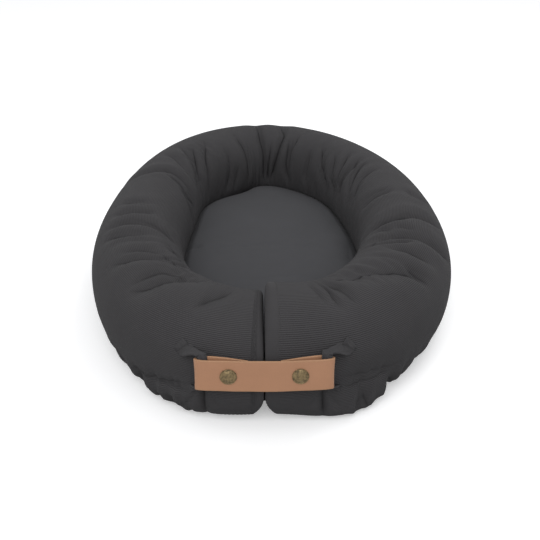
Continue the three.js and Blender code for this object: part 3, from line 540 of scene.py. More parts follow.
def link_mesh(name, bm):
    """Makes an object of a bmesh and links it to the scene."""
    mesh = bpy.data.meshes.new(name)
    bm.to_mesh(mesh)
    bm.free()
    obj = bpy.data.objects.new(name, mesh)
    bpy.context.scene.collection.objects.link(obj)
    return obj


def shade_smooth(obj, sharp_degrees=None):
    obj.data.polygons.foreach_set("use_smooth", [True] * len(obj.data.polygons))
    if sharp_degrees:
        obj.data.set_sharp_from_angle(angle=math.radians(sharp_degrees))


def wrap_grid(name, rings, along, around, parts=None, marks=None):
    """A closed skin through rings of places: a grid bent round, sewn up and closed at its ends."""
    columns, rows = rings.shape[:2]
    bm = bmesh.new()
    uv = bm.loops.layers.uv.new("cloth")
    bmesh.ops.create_grid(bm, x_segments=columns - 1, y_segments=rows, size=0.5, calc_uvs=True)
    for face in bm.faces:
        shares = [loop[uv].uv.copy() for loop in face.loops]
        if parts:
            face.material_index = parts[round(min(share.y for share in shares) * rows)]
        for loop, share in zip(face.loops, shares):
            loop[uv].uv = (along[round(share.x * (columns - 1))], around[round(share.y * rows)])
    layers = {mark: bm.verts.layers.float.new(mark) for mark in marks or ()}
    for vert in bm.verts:
        i, j = round((vert.co.x + 0.5) * (columns - 1)), round((vert.co.y + 0.5) * rows)
        vert.co = rings[i, j % rows]
        for mark, layer in layers.items():
            vert[layer] = marks[mark][i, j % rows]
    bmesh.ops.remove_doubles(bm, verts=bm.verts, dist=JOIN_DISTANCE)
    open_edges = [edge for edge in bm.edges if edge.is_boundary]
    if open_edges:
        for face in bmesh.ops.holes_fill(bm, edges=open_edges)["faces"]:
            face.material_index = EDGE if parts else 0
    bmesh.ops.recalc_face_normals(bm, faces=bm.faces)
    obj = link_mesh(name, bm)
    shade_smooth(obj)
    return obj


# The bolster's shape


class Plan:
    """The bolster's middle line seen from above, walked from the foot over +X to the head and back."""

    def __init__(self):
        s = sizes()
        turn = np.linspace(-math.pi / 2, math.pi / 2, CURVE_POINTS)
        power = 2 / np.where(turn < 0, s.foot_exponent, s.head_exponent)
        along = signed_power(np.sin(turn), power)
        across = signed_power(np.cos(turn), power)
        x = PLAN_HALF_WIDTH * across * (1 - s.head_taper * along)
        y = PLAN_HALF_LENGTH * along
        x[0] = x[-1] = 0
        walked = np.concatenate([[0], np.cumsum(np.hypot(np.diff(x), np.diff(y)))])
        self.half = walked[-1]
        self.whole = 2 * self.half
        self.walked = np.concatenate([walked, self.whole - walked[-2::-1]])
        self.x = np.concatenate([x, -x[-2::-1]])
        self.y = np.concatenate([y, y[-2::-1]])

    def at(self, walked):
        return np.stack([np.interp(walked, self.walked, self.x), np.interp(walked, self.walked, self.y)], -1)

    def place(self, walked):
        """Points of the middle line and the directions away from the pad."""
        before, after = (self.at(np.clip(walked + step, 0, self.whole)) for step in (-PLAN_STEP, PLAN_STEP))
        ahead = after - before
        ahead /= np.linalg.norm(ahead, axis=-1, keepdims=True)
        return self.at(walked), np.stack([ahead[..., 1], -ahead[..., 0]], -1)

    def from_split(self, walked):
        """Distances walked from the nearer of the bolster's two ends."""
        return np.minimum(walked, self.whole - walked)

    def sway(self, walked):
        """How far the middle of the long sides has settled over to +X."""
        return MIDDLE_SWAY * np.sin(math.pi * walked / self.half) ** 2

    def hump(self, walked, centre, width):
        """A smooth hump along the bolster, 1 at its centre."""
        away = (walked - centre + self.half) % self.whole - self.half
        return np.exp(-((away / width) ** 2))

    def drawn_back(self, walked):
        """How far the inner side is drawn back from the pad."""
        return sum(amount * self.hump(walked, centre, width) for centre, width, amount in INNER_HUMPS)

    def outline(self, offset, count, drawn=0.0):
        """A closed line at a distance outside the middle line, as points in the plane."""
        walked = np.linspace(0, self.whole, count, endpoint=False)
        point, outward = self.place(walked)
        ring = point + (offset + drawn * self.drawn_back(walked))[:, None] * outward
        ring[:, 0] += self.sway(walked)
        return ring


def section(angle):
    """The bolster's section: the way out from the middle line and the height over the floor."""
    s = sizes()
    half_height = (SECTION_HIGH - SECTION_LOW + SECTION_FLAT) / 2
    power = 2 / np.where(np.sin(angle) < 0, s.lower_exponent, s.upper_exponent)
    out = BOLSTER_WIDTH / 2 * signed_power(np.cos(angle), power)
    up = half_height * signed_power(np.sin(angle), power)
    up = np.maximum(up, SECTION_FLAT - half_height)
    return out, SECTION_LOW + half_height - SECTION_FLAT + up


def split_gap(angle):
    """How far each end turns away from the split, below and a little above."""
    opening = sizes().split_opening
    above = SPLIT_ABOVE_SHARE * smoothstep(np.sin(angle), *SPLIT_ABOVE)
    return opening * (smoothstep(-np.sin(angle), *SPLIT_BELOW) + above)


def bolster_surface(plan, walked, angle):
    """Places on the bolster before it is creased, as its stuffing has settled."""
    point, outward = plan.place(walked)
    out, height = section(angle)
    outer = np.clip(np.cos(angle), 0, 1)
    upper = np.clip(np.sin(angle), 0, 1)
    lower = np.clip(-np.sin(angle), 0, 1) * np.clip(LOWER_FALL * np.cos(angle), 0, 1)
    for centre, width, amount in OUTER_HUMPS:
        out = out + outer * amount * plan.hump(walked, centre, width)
    out = out + np.clip(-np.cos(angle), 0, 1) * plan.drawn_back(walked)
    for centre, width, amount, power in LOWER_HUMPS:
        out = out + lower**power * amount * plan.hump(walked, centre, width)
    height = height - upper * (TOP_DROP + HEAD_DROP * plan.hump(walked, plan.half, HEAD_DROP_SPREAD))
    side = np.where(walked < plan.half, 1, -1)
    lift = np.where(side > 0, *END_LIFT)
    height = height + upper * lift * np.exp(-((plan.from_split(walked) / END_LIFT_SPREAD) ** 2))
    near = np.exp(-((plan.from_split(walked) / SPLIT_SPREAD) ** 2))
    x = point[..., 0] + out * outward[..., 0] + plan.sway(walked)
    x = x + side * near * split_gap(angle)
    y = point[..., 1] + out * outward[..., 1]
    return np.stack([x, y, height], -1)


def smooth_curve(points, steps=8):
    """A smooth curve through points in the plane, with the share walked at each of its points."""
    points = np.array(points, float)
    t = np.linspace(0, len(points) - 1, len(points) * steps)
    i = np.minimum(t.astype(int), len(points) - 2)
    s = (t - i)[:, None]
    slope = np.gradient(points, axis=0)
    curve = (2 * s**3 - 3 * s**2 + 1) * points[i] + (s**3 - 2 * s**2 + s) * slope[i]
    curve += (3 * s**2 - 2 * s**3) * points[i + 1] + (s**3 - s**2) * slope[i + 1]
    return curve, t / (len(points) - 1)


def beside_crease(points, along, across, reach):
    """The places within a crease's reach, their distances to it, plus on one side and minus on the other, and
    how strong it still is there, from 1 to 0 at its ends."""
    curve, share = smooth_curve(points)
    near = (along > curve[:, 0].min() - reach) & (along < curve[:, 0].max() + reach)
    u, v = along[near], across[near]
    away, side, walked = np.full(u.shape, np.inf), np.ones(u.shape), np.zeros(u.shape)
    for k in range(len(curve) - 1):
        dx, dy = curve[k + 1] - curve[k]
        t = np.clip(((u - curve[k, 0]) * dx + (v - curve[k, 1]) * dy) / (dx * dx + dy * dy + TINY), 0, 1)
        to_u, to_v = u - curve[k, 0] - t * dx, v - curve[k, 1] - t * dy
        distance = np.hypot(to_u, to_v)
        closer = distance < away
        away[closer] = distance[closer]
        side[closer] = np.where(dx * to_v - dy * to_u < 0, -1, 1)[closer]
        walked[closer] = (share[k] + t * (share[k + 1] - share[k]))[closer]
    return near, away * side, smoothstep(np.minimum(walked, 1 - walked), 0, CREASE_FADE)


def crease_depths(along, across, creases, shoulders=0.0):
    """How far creases draw a cloth in: a sharp valley, with the share of it that has wide shoulders."""
    depths = np.zeros_like(along)
    height, place, spread = RIDGE
    for depth, width, points in creases:
        near, away, strength = beside_crease(points, along, across, CREASE_REACHES[shoulders > 0] * width)
        away = np.abs(away) / width
        valley = (1 - shoulders) * np.exp(-away) + shoulders * np.exp(-away / SHOULDER_WIDTH)
        ridge = height * np.exp(-(((away - place) / spread) ** 2)) if shoulders else 0.0
        depths[near] += depth * strength * (valley - ridge)
    return depths


def crease_lines(along, across, creases):
    """The distance to the crease that counts most at each place, and that crease's depth, for the finish's
    bump and painted shade.
    """
    line, core, most = np.full(along.shape, CORE_REACH), np.zeros(along.shape), np.zeros(along.shape)
    for depth, _, points in creases:
        near, away, strength = beside_crease(points, along, across, 4 * CORE_REACH)
        counts = depth * strength * np.exp(-np.abs(away) / CORE_FALL)
        more = counts > most[near]
        spots = np.flatnonzero(near)[more]
        fade = 1 - smoothstep(np.abs(away), CORE_REACH / 2, CORE_REACH)
        line.flat[spots] = away[more]
        core.flat[spots] = (depth * strength * fade)[more]
        most.flat[spots] = counts[more]
    return line, core


def in_metres(creases):
    """Creases whose depth and half width are given in millimetres."""
    return [(depth / 1000, width / 1000, points) for depth, width, points in creases]


def round_bolster(creases):
    """Creases given by distance along and degrees round, with millimetres and degrees turned into metres."""
    return [(depth, width, [(along, math.radians(degrees) * BOLSTER_WIDTH / 2) for along, degrees in points])
            for depth, width, points in in_metres(creases)]


def shallower(creases, share, less=0.0):
    """The same creases with a share of their depth, once some of it is taken off."""
    return [(share * max(depth - less, 0), width, points) for depth, width, points in creases]


def spring(places, moves, rest, steps, axis, push, pull):
    """Adds the moves that bring the cloth's threads, steps long along an axis, towards their cut length."""
    if axis == 1:
        ways = np.roll(places, -steps, axis=1) - places
    else:
        ways = places[steps:] - places[:-steps]
    lengths = np.linalg.norm(ways, axis=-1, keepdims=True) + TINY
    short = lengths - rest[..., None]
    short = lengths - rest[..., None]
    change = np.where(short > 0, pull, push) * short / lengths * ways / 2
    if axis == 1:
        moves += change - np.roll(change, steps, axis=1)
    else:
        moves[:-steps] += change
        moves[steps:] -= change


def grid_normals(places, outward=None):
    """Normals of a grid that closes on itself round its second axis."""
    along = np.gradient(places, axis=0)
    round_it = (np.roll(places, -1, axis=1) - np.roll(places, 1, axis=1)) / 2
    normals = unit(np.cross(round_it, along))
    if outward is not None:
        normals *= np.sign(np.sum(normals * outward, -1, keepdims=True) + TINY)
    return normals


def relax_cloth(start, base, normals, cut_along, cut_round, loose, pressed):
    """Lets the gathered cloth settle over its stuffing: threads keep their length, so spare cloth folds."""
    s = sizes()
    places = start
    cuts = {(1, 0): cut_along, (1, 1): cut_round, (2, 0): cut_along[:-1] + cut_along[1:]}
    cuts[4, 0] = cuts[2, 0][:-2] + cuts[2, 0][2:]
    cuts[2, 1] = cut_round + np.roll(cut_round, -1, axis=1)
    threads = [(share * cuts[steps, axis], steps, axis, push, pull)
               for steps, axis, share, push, pull in THREADS]
    drawn = s.crease_pull * np.clip(pressed / PRESSED_DEPTH, 0, 1)[..., None]
    floor = base[..., 2].min()
    for _ in range(s.settling_steps):
        moves = np.zeros_like(places)
        for thread in threads:
            spring(places, moves, *thread)
        places = places + moves
        beside = (np.roll(places, 1, axis=1) + np.roll(places, -1, axis=1)) / 2 - places
        places = places + s.cloth_stiffness * beside
        places[1:-1] += s.cloth_stiffness / 2 * ((places[2:] + places[:-2]) / 2 - places[1:-1])
        places = places + s.stuffing_push * grid_normals(places, normals)
        shift = places - base
        height = np.sum(shift * normals, -1, keepdims=True)
        height -= drawn * (height + pressed[..., None])
        slip = shift - height * normals
        slip *= np.minimum(1, s.most_slip / (np.linalg.norm(slip, axis=-1, keepdims=True) + TINY))
        shift = np.clip(height, -s.most_in, s.most_out) * normals + slip
        places = base + shift * loose[..., None]
        places[..., 2] = np.maximum(places[..., 2], floor)
    return places


def stations(plan):
    """Distances walked along the bolster, closer together at its sewn ends."""
    s = sizes()
    start = SPLIT_HALF + s.end_rounding
    dense = np.arange(start, start + END_STRIP, s.cloth_step * END_STEP_SHARE)
    middle_start = dense[-1] + s.cloth_step / 2
    count = int((plan.half - middle_start) / s.cloth_step)
    half = np.concatenate([dense, np.linspace(middle_start, plan.half, count)])
    return np.concatenate([half, plan.whole - half[-2::-1]])


def even_angles(count):
    """Angles that part the section's outline into even steps, from the underside over the inner side, and its
    length."""
    turn = np.linspace(0, 2 * math.pi, CURVE_POINTS)
    outline = np.stack(section(-math.pi / 2 - turn), -1)
    walked = np.concatenate([[0], np.cumsum(np.linalg.norm(np.diff(outline, axis=0), axis=1))])
    return -math.pi / 2 - np.interp(np.arange(count) / count * walked[-1], walked, turn), walked[-1]


def wandering_folds(walked, across):
    """Small uneven folds that start the gathers between the main creases."""
    dice = np.random.default_rng(sizes().crease_seed)
    folds = np.zeros_like(walked)
    for length, strength in FOLD_WAVES:
        for _ in range(WAVES_EACH):
            start = dice.uniform(0, 2 * math.pi)
            slant, stretch, sway = dice.uniform(WAVE_LEAST, WAVE_MOST)
            wave = 2 * math.pi * (walked + slant * across) / (length * stretch)
            folds += strength / WAVES_EACH * np.sin(wave + start + WAVE_BEND * np.sin(walked * sway + start))
    return folds


def soften(field, rounds):
    """A field on the bolster's grid, smoothed over its neighbours a number of times."""
    for _ in range(rounds):
        field = (field + np.roll(field, 1, axis=1) + np.roll(field, -1, axis=1)) / 3
        field[1:-1] = (field[1:-1] + field[:-2] + field[2:]) / 3
    return field


def refine(grid):
    """Sets a point on a smooth curve between every two of a grid that closes on itself round axis 1."""
    after = np.roll(grid, -1, axis=1)
    between = (9 * (grid + after) - np.roll(grid, 1, axis=1) - np.roll(grid, -2, axis=1)) / 16
    grid = np.stack([grid, between], axis=2).reshape(grid.shape[0], -1, *grid.shape[2:])
    before = np.concatenate([grid[:1], grid[:-2]])
    beyond = np.concatenate([grid[2:], grid[-1:]])
    between = (9 * (grid[:-1] + grid[1:]) - before - beyond) / 16
    finer = np.empty((2 * len(grid) - 1, *grid.shape[1:]))
    finer[0::2], finer[1::2] = grid, between
    return finer


def settled_cloth(plan):
    """The cloth settled over its stuffing, gathered where the main creases are, as a coarse grid."""
    s = sizes()
    angles, _ = even_angles(int(SECTION_ROUND / s.cloth_step))
    walked, angle = np.meshgrid(stations(plan), angles, indexing="ij")
    base = bolster_surface(plan, walked, angle)
    middle = np.concatenate([plan.place(walked)[0], np.full(walked.shape + (1,), SECTION_MIDDLE)], -1)
    middle[..., 0] += plan.sway(walked)
    normals = grid_normals(base, base - middle)
    degrees = degrees_round(angle)
    across = np.radians(degrees) * BOLSTER_WIDTH / 2
    pressed = crease_depths(walked, across, round_bolster(CREASES), s.crease_shoulders)
    pressed *= look_up(CREASE_DEEPER, degrees)
    pressed = np.where(pressed > 0, s.most_pressed * np.tanh(pressed / s.most_pressed), pressed)
    tier = look_up(TIER_ALONG, walked) * look_up(TIER_ROUND, degrees)
    spare = look_up(SPARE_ALONG, walked) * look_up(SPARE_ROUND, degrees) + s.tier_spare * tier
    spare += s.bunching * np.clip(soften(np.maximum(pressed, 0), BUNCH_ROUNDS) / BUNCHED_DEPTH, 0, 1)
    cut_along = np.linalg.norm(np.diff(base, axis=0), axis=-1) * (1 + (spare[1:] + spare[:-1]) / 2)
    cut_round = np.linalg.norm(np.roll(base, -1, axis=1) - base, axis=-1)
    even, more, least = FOLD_SHARES
    height = s.small_folds * np.clip(even - more * np.cos(angle), least, 1) + s.tier_folds * tier
    folds = height * wandering_folds(walked, across) - pressed
    start = base + normals * folds[..., None]
    loose = 1 - np.interp(-np.sin(angle), LAID_SINE, (0, 1))
    places = relax_cloth(start, base, normals, cut_along, cut_round, loose, pressed)
    swelling = soften(np.sum((places - base) * normals, -1) + pressed, SWELLING_ROUNDS)
    return places - s.settle_back * swelling[..., None] * normals, walked, normals


def fine_creases():
    """The sharp bottoms of the main creases, and finer creases that run beside the shallower ones."""
    s = sizes()
    dice = np.random.default_rng(s.crease_seed)
    sharp, beside = [], []
    for depth, _, points in round_bolster(CREASES):
        points = np.array(points)
        sharp.append((min(SHARP_SHARE * depth, SHARP_MOST), SHARP_WIDTH, points))
        shallow = depth < FINE_BELOW and points[0, 0] > FINE_FROM
        for _ in range(s.beside_creases if shallow else 0):
            shift = dice.choice((-1, 1)) * dice.uniform(*FINE_SHIFT)
            first = dice.integers(0, max(len(points) - 3, 1))
            ends = [dice.uniform(*least_most) for least_most in FINE_SHIFT_SHARES]
            line = points + np.linspace(*ends, len(points))[:, None] * (shift, 0)
            beside.append((dice.uniform(*FINE_DEPTH_SHARES) * depth, dice.uniform(*FINE_WIDTH), line[first:]))
    return sharp, beside


def creased_bolster(plan):
    """The finished cloth as a fine grid, its distances along, degrees round and length round, and its crease
    lines."""
    places, walked, normals = (refine(grid) for grid in settled_cloth(plan))
    angles, around = even_angles(walked.shape[1])
    degrees = degrees_round(np.broadcast_to(angles, walked.shape))
    across = np.radians(degrees) * BOLSTER_WIDTH / 2
    sharp, beside = fine_creases()
    depths = crease_depths(walked, across, sharp + beside + round_bolster(SEAMS))
    loose = smoothstep(degrees, *LAID_FLAT[0]) * (1 - smoothstep(degrees, *LAID_FLAT[1]))
    places = places - unit(normals) * (depths * loose)[..., None]
    main = shallower(round_bolster(CREASES + SEAMS), CORE_SHARES["main"], CORE_FROM)
    fine = shallower(beside, CORE_SHARES["fine"])
    fine += shallower(round_bolster(STITCHED), CORE_SHARES["stitched"])
    lines = [crease_lines(walked, across, creases) for creases in (main, fine)]
    places = press_behind_strap(press_round_pad(plan, places, walked))
    return places, walked[:, 0], degrees[0], around, lines


def press_round_pad(plan, places, walked):
    """Keeps the bolster's inner side outside the pad."""
    point, outward = plan.place(walked)
    point[..., 0] += plan.sway(walked)
    out = np.sum((places[..., :2] - point) * outward, -1)
    rim = PAD_RIM - sizes().pad_edge - pad_drop(plan, walked)
    share = np.clip((places[..., 2] - PAD_FOOT) / (rim - PAD_FOOT), 0, 1)
    most = PAD_FOOT_INSET + (PAD_TOP_INSET - PAD_FOOT_INSET) * share + np.maximum(places[..., 2] - rim, 0)
    short = np.maximum(plan.drawn_back(walked) - most + PAD_GAP - out, 0) * (out < 0)
    places[..., :2] += short[..., None] * outward
    return places


def press_behind_strap(places):
    """Presses the cloth in where the strap's folded ends lie on it."""
    offset = places - STRAP_MIDDLE
    forward, up = offset @ STRAP_FORWARD, offset @ STRAP_UP
    across = np.abs(places[..., 0])
    most = np.interp(across, BEHIND_FOLDS, (-STRAP_BACK, -STRAP_BACK - BEHIND_DEEPER))
    window = 1 - smoothstep(np.abs(up), STRAP_HALF_WIDTH, STRAP_HALF_WIDTH + BEHIND_ABOVE)
    window *= 1 - smoothstep(across, STRAP_HALF_LENGTH, STRAP_HALF_LENGTH + BEHIND_BESIDE)
    window *= forward > -BEHIND_REACH
    return places - (np.maximum(forward - most, 0) * window)[..., None] * STRAP_FORWARD


def close_end(ring, degrees, side):
    """Rings that round a bolster end over, more above and below than in front, and close it softly."""
    centre = ring.mean(axis=0)
    half = np.linalg.norm(ring - centre, axis=1, keepdims=True)
    turned_to = np.radians(degrees)
    least, more = END_ROUNDING_SHARES
    rounding = sizes().end_rounding * (least + more * np.abs(np.sin(turned_to)) ** 2)[:, None]
    face = side * (SPLIT_HALF + split_gap(turned_to))
    rings = []
    for turn in np.radians(END_TURNS):
        place = centre + (ring - centre) * (1 - rounding / half * (1 - math.cos(turn)))
        place[:, 0] = ring[:, 0] + (face - ring[:, 0]) * math.sin(turn)
        rings.append(place)
    flat = rings[-1]
    for share in np.linspace(1, 0, END_FACE_RINGS + 1)[1:]:
        place = centre + (flat - centre) * share
        place[:, 0] = side * END_MEETS + (flat[:, 0] - side * END_MEETS) * share**2
        rings.append(place)
    return rings


def cloth_marks(plan, along, degrees):
    """Where the bolster's cloth is plain and where its ribs run on the bias, from 0 to 1."""
    from_split = plan.from_split(along)
    right = along < plan.half
    pillow = smoothstep(-degrees, *PILLOW_DEGREES) * (1 - smoothstep(from_split, *PILLOW_END))
    seam = look_up([(angle, away) for away, angle in reversed(SEAM_RIGHT)], degrees)
    strip = right * (1 - smoothstep(from_split, seam - STRIP_BLEND, seam + STRIP_BLEND))
    face = 1 - smoothstep(from_split, *FACE_BLEND)
    plain = np.maximum(PILLOW_SHARE * pillow, np.maximum(strip, face))
    bias = 1 - smoothstep(from_split, STRIP_LEFT - BIAS_BLEND, STRIP_LEFT + BIAS_BLEND)
    return {"plain": plain, "bias": ~right * bias * (1 - face)}


def make_bolster_cloth():
    """The bolster's cloth, and its grid with the distances along and the degrees round it."""
    plan = Plan()
    places, walked, degrees, around, lines = creased_bolster(plan)
    right = close_end(places[0], degrees, 1)
    left = close_end(places[-1], degrees, -1)
    rings = np.concatenate([np.array(right[::-1]), places, np.array(left)])
    caps = np.linspace(*END_MAP, len(right))
    along = np.concatenate([caps[::-1], walked, plan.whole - caps])
    marks = cloth_marks(plan, *np.meshgrid(along, degrees, indexing="ij"))
    bare = ((len(right), len(left)), (0, 0))
    for word, (line, core) in zip(("main", "fine"), lines):
        marks[f"{word}_line"] = np.pad(line, bare, constant_values=CORE_REACH)
        marks[f"{word}_core"] = np.pad(core, bare)
    obj = wrap_grid("bolster_cloth", rings, along, np.linspace(0, around, rings.shape[1] + 1), marks=marks)
    return obj, places, walked, degrees


class LaidCloth:
    """The bolster's settled cloth, to lay stitches on."""

    def __init__(self, places, walked, degrees):
        order = np.argsort(degrees)
        self.places, self.walked, self.degrees = places[:, order], walked, degrees[order]

    def at(self, walked, degrees, lift):
        """A place on the cloth, lifted off it."""
        i = int(np.clip(np.searchsorted(self.walked, walked) - 1, 0, len(self.walked) - 2))
        j = int(np.clip(np.searchsorted(self.degrees, degrees) - 1, 0, len(self.degrees) - 2))
        s = (walked - self.walked[i]) / (self.walked[i + 1] - self.walked[i])
        t = (degrees - self.degrees[j]) / (self.degrees[j + 1] - self.degrees[j])
        p = self.places[i:i + 2, j:j + 2]
        place = (1 - s) * ((1 - t) * p[0, 0] + t * p[0, 1]) + s * ((1 - t) * p[1, 0] + t * p[1, 1])
        out = unit(np.cross(p[1, 0] - p[0, 0], p[0, 1] - p[0, 0]))
        return place + lift * out

    def seam(self, line):
        """Stitches along a line of distances walked and degrees."""
        curve, _ = smooth_curve(line, SEAM_STEPS)
        dense = np.array([self.at(walked, degrees, STITCH_LIFT) for walked, degrees in curve])
        passed = np.concatenate([[0], np.cumsum(np.linalg.norm(np.diff(dense, axis=0), axis=1))])
        threads = []
        for start in np.arange(STITCH_PITCH / 2, passed[-1] - STITCH_LENGTH, STITCH_PITCH):
            ends = (start, start + STITCH_LENGTH)
            threads.append([[np.interp(end, passed, part) for part in dense.T] for end in ends])
        return threads


# Bands: leather, tape and elastic


def flat_outline(half_width, half_thick, rounding, columns):
    """The outline of a flat band with rounded edges, and which of its steps are face, back and edge."""
    corner = np.radians([30, 60, 90])
    reach, rise = half_width - rounding, half_thick - rounding
    across = np.linspace(-reach, reach, columns + 1)
    face = np.stack([across, np.full_like(across, half_thick)], -1)
    upper = np.stack([reach + rounding * np.sin(corner), rise + rounding * np.cos(corner)], -1)
    lower = np.stack([upper[::-1, 0], -upper[::-1, 1]], -1)
    half = np.concatenate([face, upper, lower])
    edge = [EDGE] * (2 * len(corner) + 1)
    return np.concatenate([half, -half]), [FACE] * columns + edge + [BACK] * columns + edge


def make_band(name, path, across, outline, uneven=None):
    """A band along a path, with the way across it and its outline, across and out of its face."""
    ahead = unit(np.gradient(path, axis=0))
    across = unit(across - np.sum(across * ahead, -1, keepdims=True) * ahead)
    out = np.cross(ahead, across)
    shape, parts = outline
    shape = np.broadcast_to(shape, (len(path),) + shape.shape[-2:])
    rings = path[:, None] + shape[..., :1] * across[:, None] + shape[..., 1:] * out[:, None]
    if uneven is not None:
        rings = rings + uneven(rings)
    along = np.concatenate([[0], np.cumsum(np.linalg.norm(np.diff(path, axis=0), axis=1))])
    middle = shape[len(path) // 2, :, 0]
    return wrap_grid(name, rings, along, np.append(middle, middle[0]), parts)


# The leather strap, in its own frame: across the foot, forward out of its face, and up


def strap_place(across, forward, up):
    across, forward, up = (np.asarray(value, float)[..., None] for value in (across, forward, up))
    return STRAP_MIDDLE + across * ACROSS + forward * STRAP_FORWARD + up * STRAP_UP


def make_strap():
    """The strap with both its ends folded back, and a little wander in its cut."""
    s = sizes()
    right, _ = smooth_curve(np.array(STRAP_PATH) / 1000, STRAP_STEPS)
    path = np.concatenate([right[:0:-1] * (-1, 1, 1), right])
    sag = s.strap_sag * np.cos(path[:, 0] / STRAP_HALF_LENGTH * math.pi / 2) ** 2
    places = strap_place(path[:, 0], path[:, 1], path[:, 2] + s.strap_sag / 3 - sag)
    outline = flat_outline(STRAP_HALF_WIDTH, LEATHER_THICKNESS / 2, LEATHER_ROUNDING, STRAP_COLUMNS)
    waves = np.random.default_rng(s.leather_seed).uniform(*CUT_WAVES)

    def uneven(rings):
        offset = rings - STRAP_MIDDLE
        up = offset @ STRAP_UP / STRAP_HALF_WIDTH
        drift = np.mean([np.sin(offset @ ACROSS * pitch + start + up) for pitch, start in waves], axis=0)
        return (s.cut_wander * drift * up**3)[..., None] * STRAP_UP

    return make_band("leather_strap", places, np.broadcast_to(STRAP_UP, places.shape), outline, uneven)


def make_cap(side, word):
    """A press stud's cap: a low dome with a rolled rim and a short tube through the leather."""
    bm = bmesh.new()
    verts = [bm.verts.new((r, 0, z)) for r, z in np.array(CAP_OUTLINE) / 1000]
    edges = [bm.edges.new(pair) for pair in zip(verts, verts[1:])]
    bmesh.ops.spin(bm, geom=verts + edges, cent=(0, 0, 0), axis=(0, 0, 1), dvec=(0, 0, 0), angle=2 * math.pi,
                   steps=CAP_STEPS, use_merge=True, use_duplicate=False)
    bmesh.ops.remove_doubles(bm, verts=bm.verts, dist=JOIN_DISTANCE)
    bmesh.ops.recalc_face_normals(bm, faces=bm.faces)
    turn = Matrix((ACROSS, -STRAP_UP, STRAP_FORWARD)).transposed()
    middle = Vector(strap_place(side * STUD_SPACING / 2, 0, 0))
    bmesh.ops.transform(bm, matrix=Matrix.Translation(middle) @ turn.to_4x4(), verts=bm.verts)
    obj = link_mesh(f"stud_cap_{word}", bm)
    shade_smooth(obj, CAP_SHARP_DEGREES)
    return obj


# The cloth loops that hold the strap


def on_bolster(plan, side, from_split, degrees, lift):
    """A place lifted off the cloth of one bolster end, and its ways along from the split and down."""
    walked = from_split + np.array([-STEP_ALONG, 0, STEP_ALONG])
    walked = walked if side > 0 else plan.whole - walked
    turn = math.radians(degrees) + np.array([-STEP_ROUND, 0, STEP_ROUND])
    grid = bolster_surface(plan, *np.meshgrid(walked, turn, indexing="ij"))
    away = unit(grid[2, 1] - grid[0, 1])
    down = unit(grid[1, 0] - grid[1, 2])
    out = unit(np.cross(away, down)) * side
    out *= -np.sign(out[1])
    return grid[1, 1] + lift * out, away, down


def tack_directions(away, down):
    """The ways across and along a loop at its tack, where it lies aslant."""
    sideways, drop = TACK_TURN
    return away * sideways + down * drop, down * sideways - away * drop


def fold_across(spread):
    """How a loop's fold stands out across its width, which runs from -1 to 1."""
    return np.abs(spread) ** 1.3 - 0.5 + 0.25 * np.sin(5 * spread + 1)


def make_loop(plan, side, word):
    """A tape sewn on above the strap, led through its fold and sewn on again below."""
    s = sizes()
    lift = s.loop_thickness / 2 + LOOP_LIFT
    stops = []
    for from_split, degrees, half in LOOP_TACK:
        place, away, down = on_bolster(plan, side, from_split, degrees, lift)
        stops.append((place, tack_directions(away, down)[0], half))
    for across, forward, up, half in LOOP_STOPS:
        stops.append((strap_place(side * across / 1000, forward / 1000, up / 1000), side * ACROSS, half))
    for from_split, degrees, half in LOOP_LOW_END:
        place, away, _ = on_bolster(plan, side, from_split, degrees, lift)
        stops.append((place, away, half))
    places, ways, halves = (np.array([stop[k] for stop in stops]) for k in range(3))
    path, across, half = (smooth_curve(values, LOOP_STEPS)[0]
                          for values in (places, unit(ways), (halves / 1000)[:, None]))
    thickness = s.loop_thickness
    shape, parts = flat_outline(0.5, thickness / 2, thickness / LOOP_ROUNDING_DIVISOR, LOOP_COLUMNS)
    spread = shape[:, 0] / 0.5
    crumple = s.loop_crease * look_up(LOOP_CRUMPLE, np.linspace(0, 1, len(path)))
    outline = np.stack([half * spread, shape[:, 1] + crumple[:, None] * fold_across(spread)], -1)
    return make_band(f"cloth_loop_{word}", path, across, (outline, parts))


def thread_stitches(name, threads, thickness):
    """Stitches as small rounded threads, each from one point to another."""
    bm = bmesh.new()
    for start, end in threads:
        start, end = Vector(start), Vector(end)
        turn = (end - start).to_track_quat("X", "Z").to_matrix().to_4x4()
        size = Matrix.Diagonal(((end - start).length / 2, thickness / 2, thickness / 2, 1))
        place = Matrix.Translation((start + end) / 2)
        bmesh.ops.create_icosphere(bm, subdivisions=2, radius=1, matrix=place @ turn @ size)
    obj = link_mesh(name, bm)
    shade_smooth(obj)
    return obj


def bar_tack(plan, side):
    """The slanting stitches that hold a loop's upper end."""
    s = sizes()
    from_split, degrees, half = LOOP_TACK[1]
    place, away, down = on_bolster(plan, side, from_split, degrees, s.loop_thickness + TACK_LIFT)
    across, along = (unit(way) for way in tack_directions(away, down))
    reach = along * TACK_REACH[0] + across * TACK_REACH[1]
    shares = (np.arange(s.tack_stitches) + 0.5) / s.tack_stitches * 2 - 1
    middles = [place + across * share * half / 1000 * TACK_WIDTH_SHARE for share in shares]
    return [(middle - reach, middle + reach) for middle in middles]


# The pad and what lies under it


def pad_drop(plan, walked):
    """How far the pad's rim has sunk, at the head."""
    return sum(amount * plan.hump(walked, centre, width) for centre, width, amount in PAD_DROPS)


def pad_wave(x, y):
    """Soft waves over the pad's top, round 0."""
    return np.sin(31 * x + 2) * np.sin(23 * y + 1) + np.sin(58 * x - 37 * y)


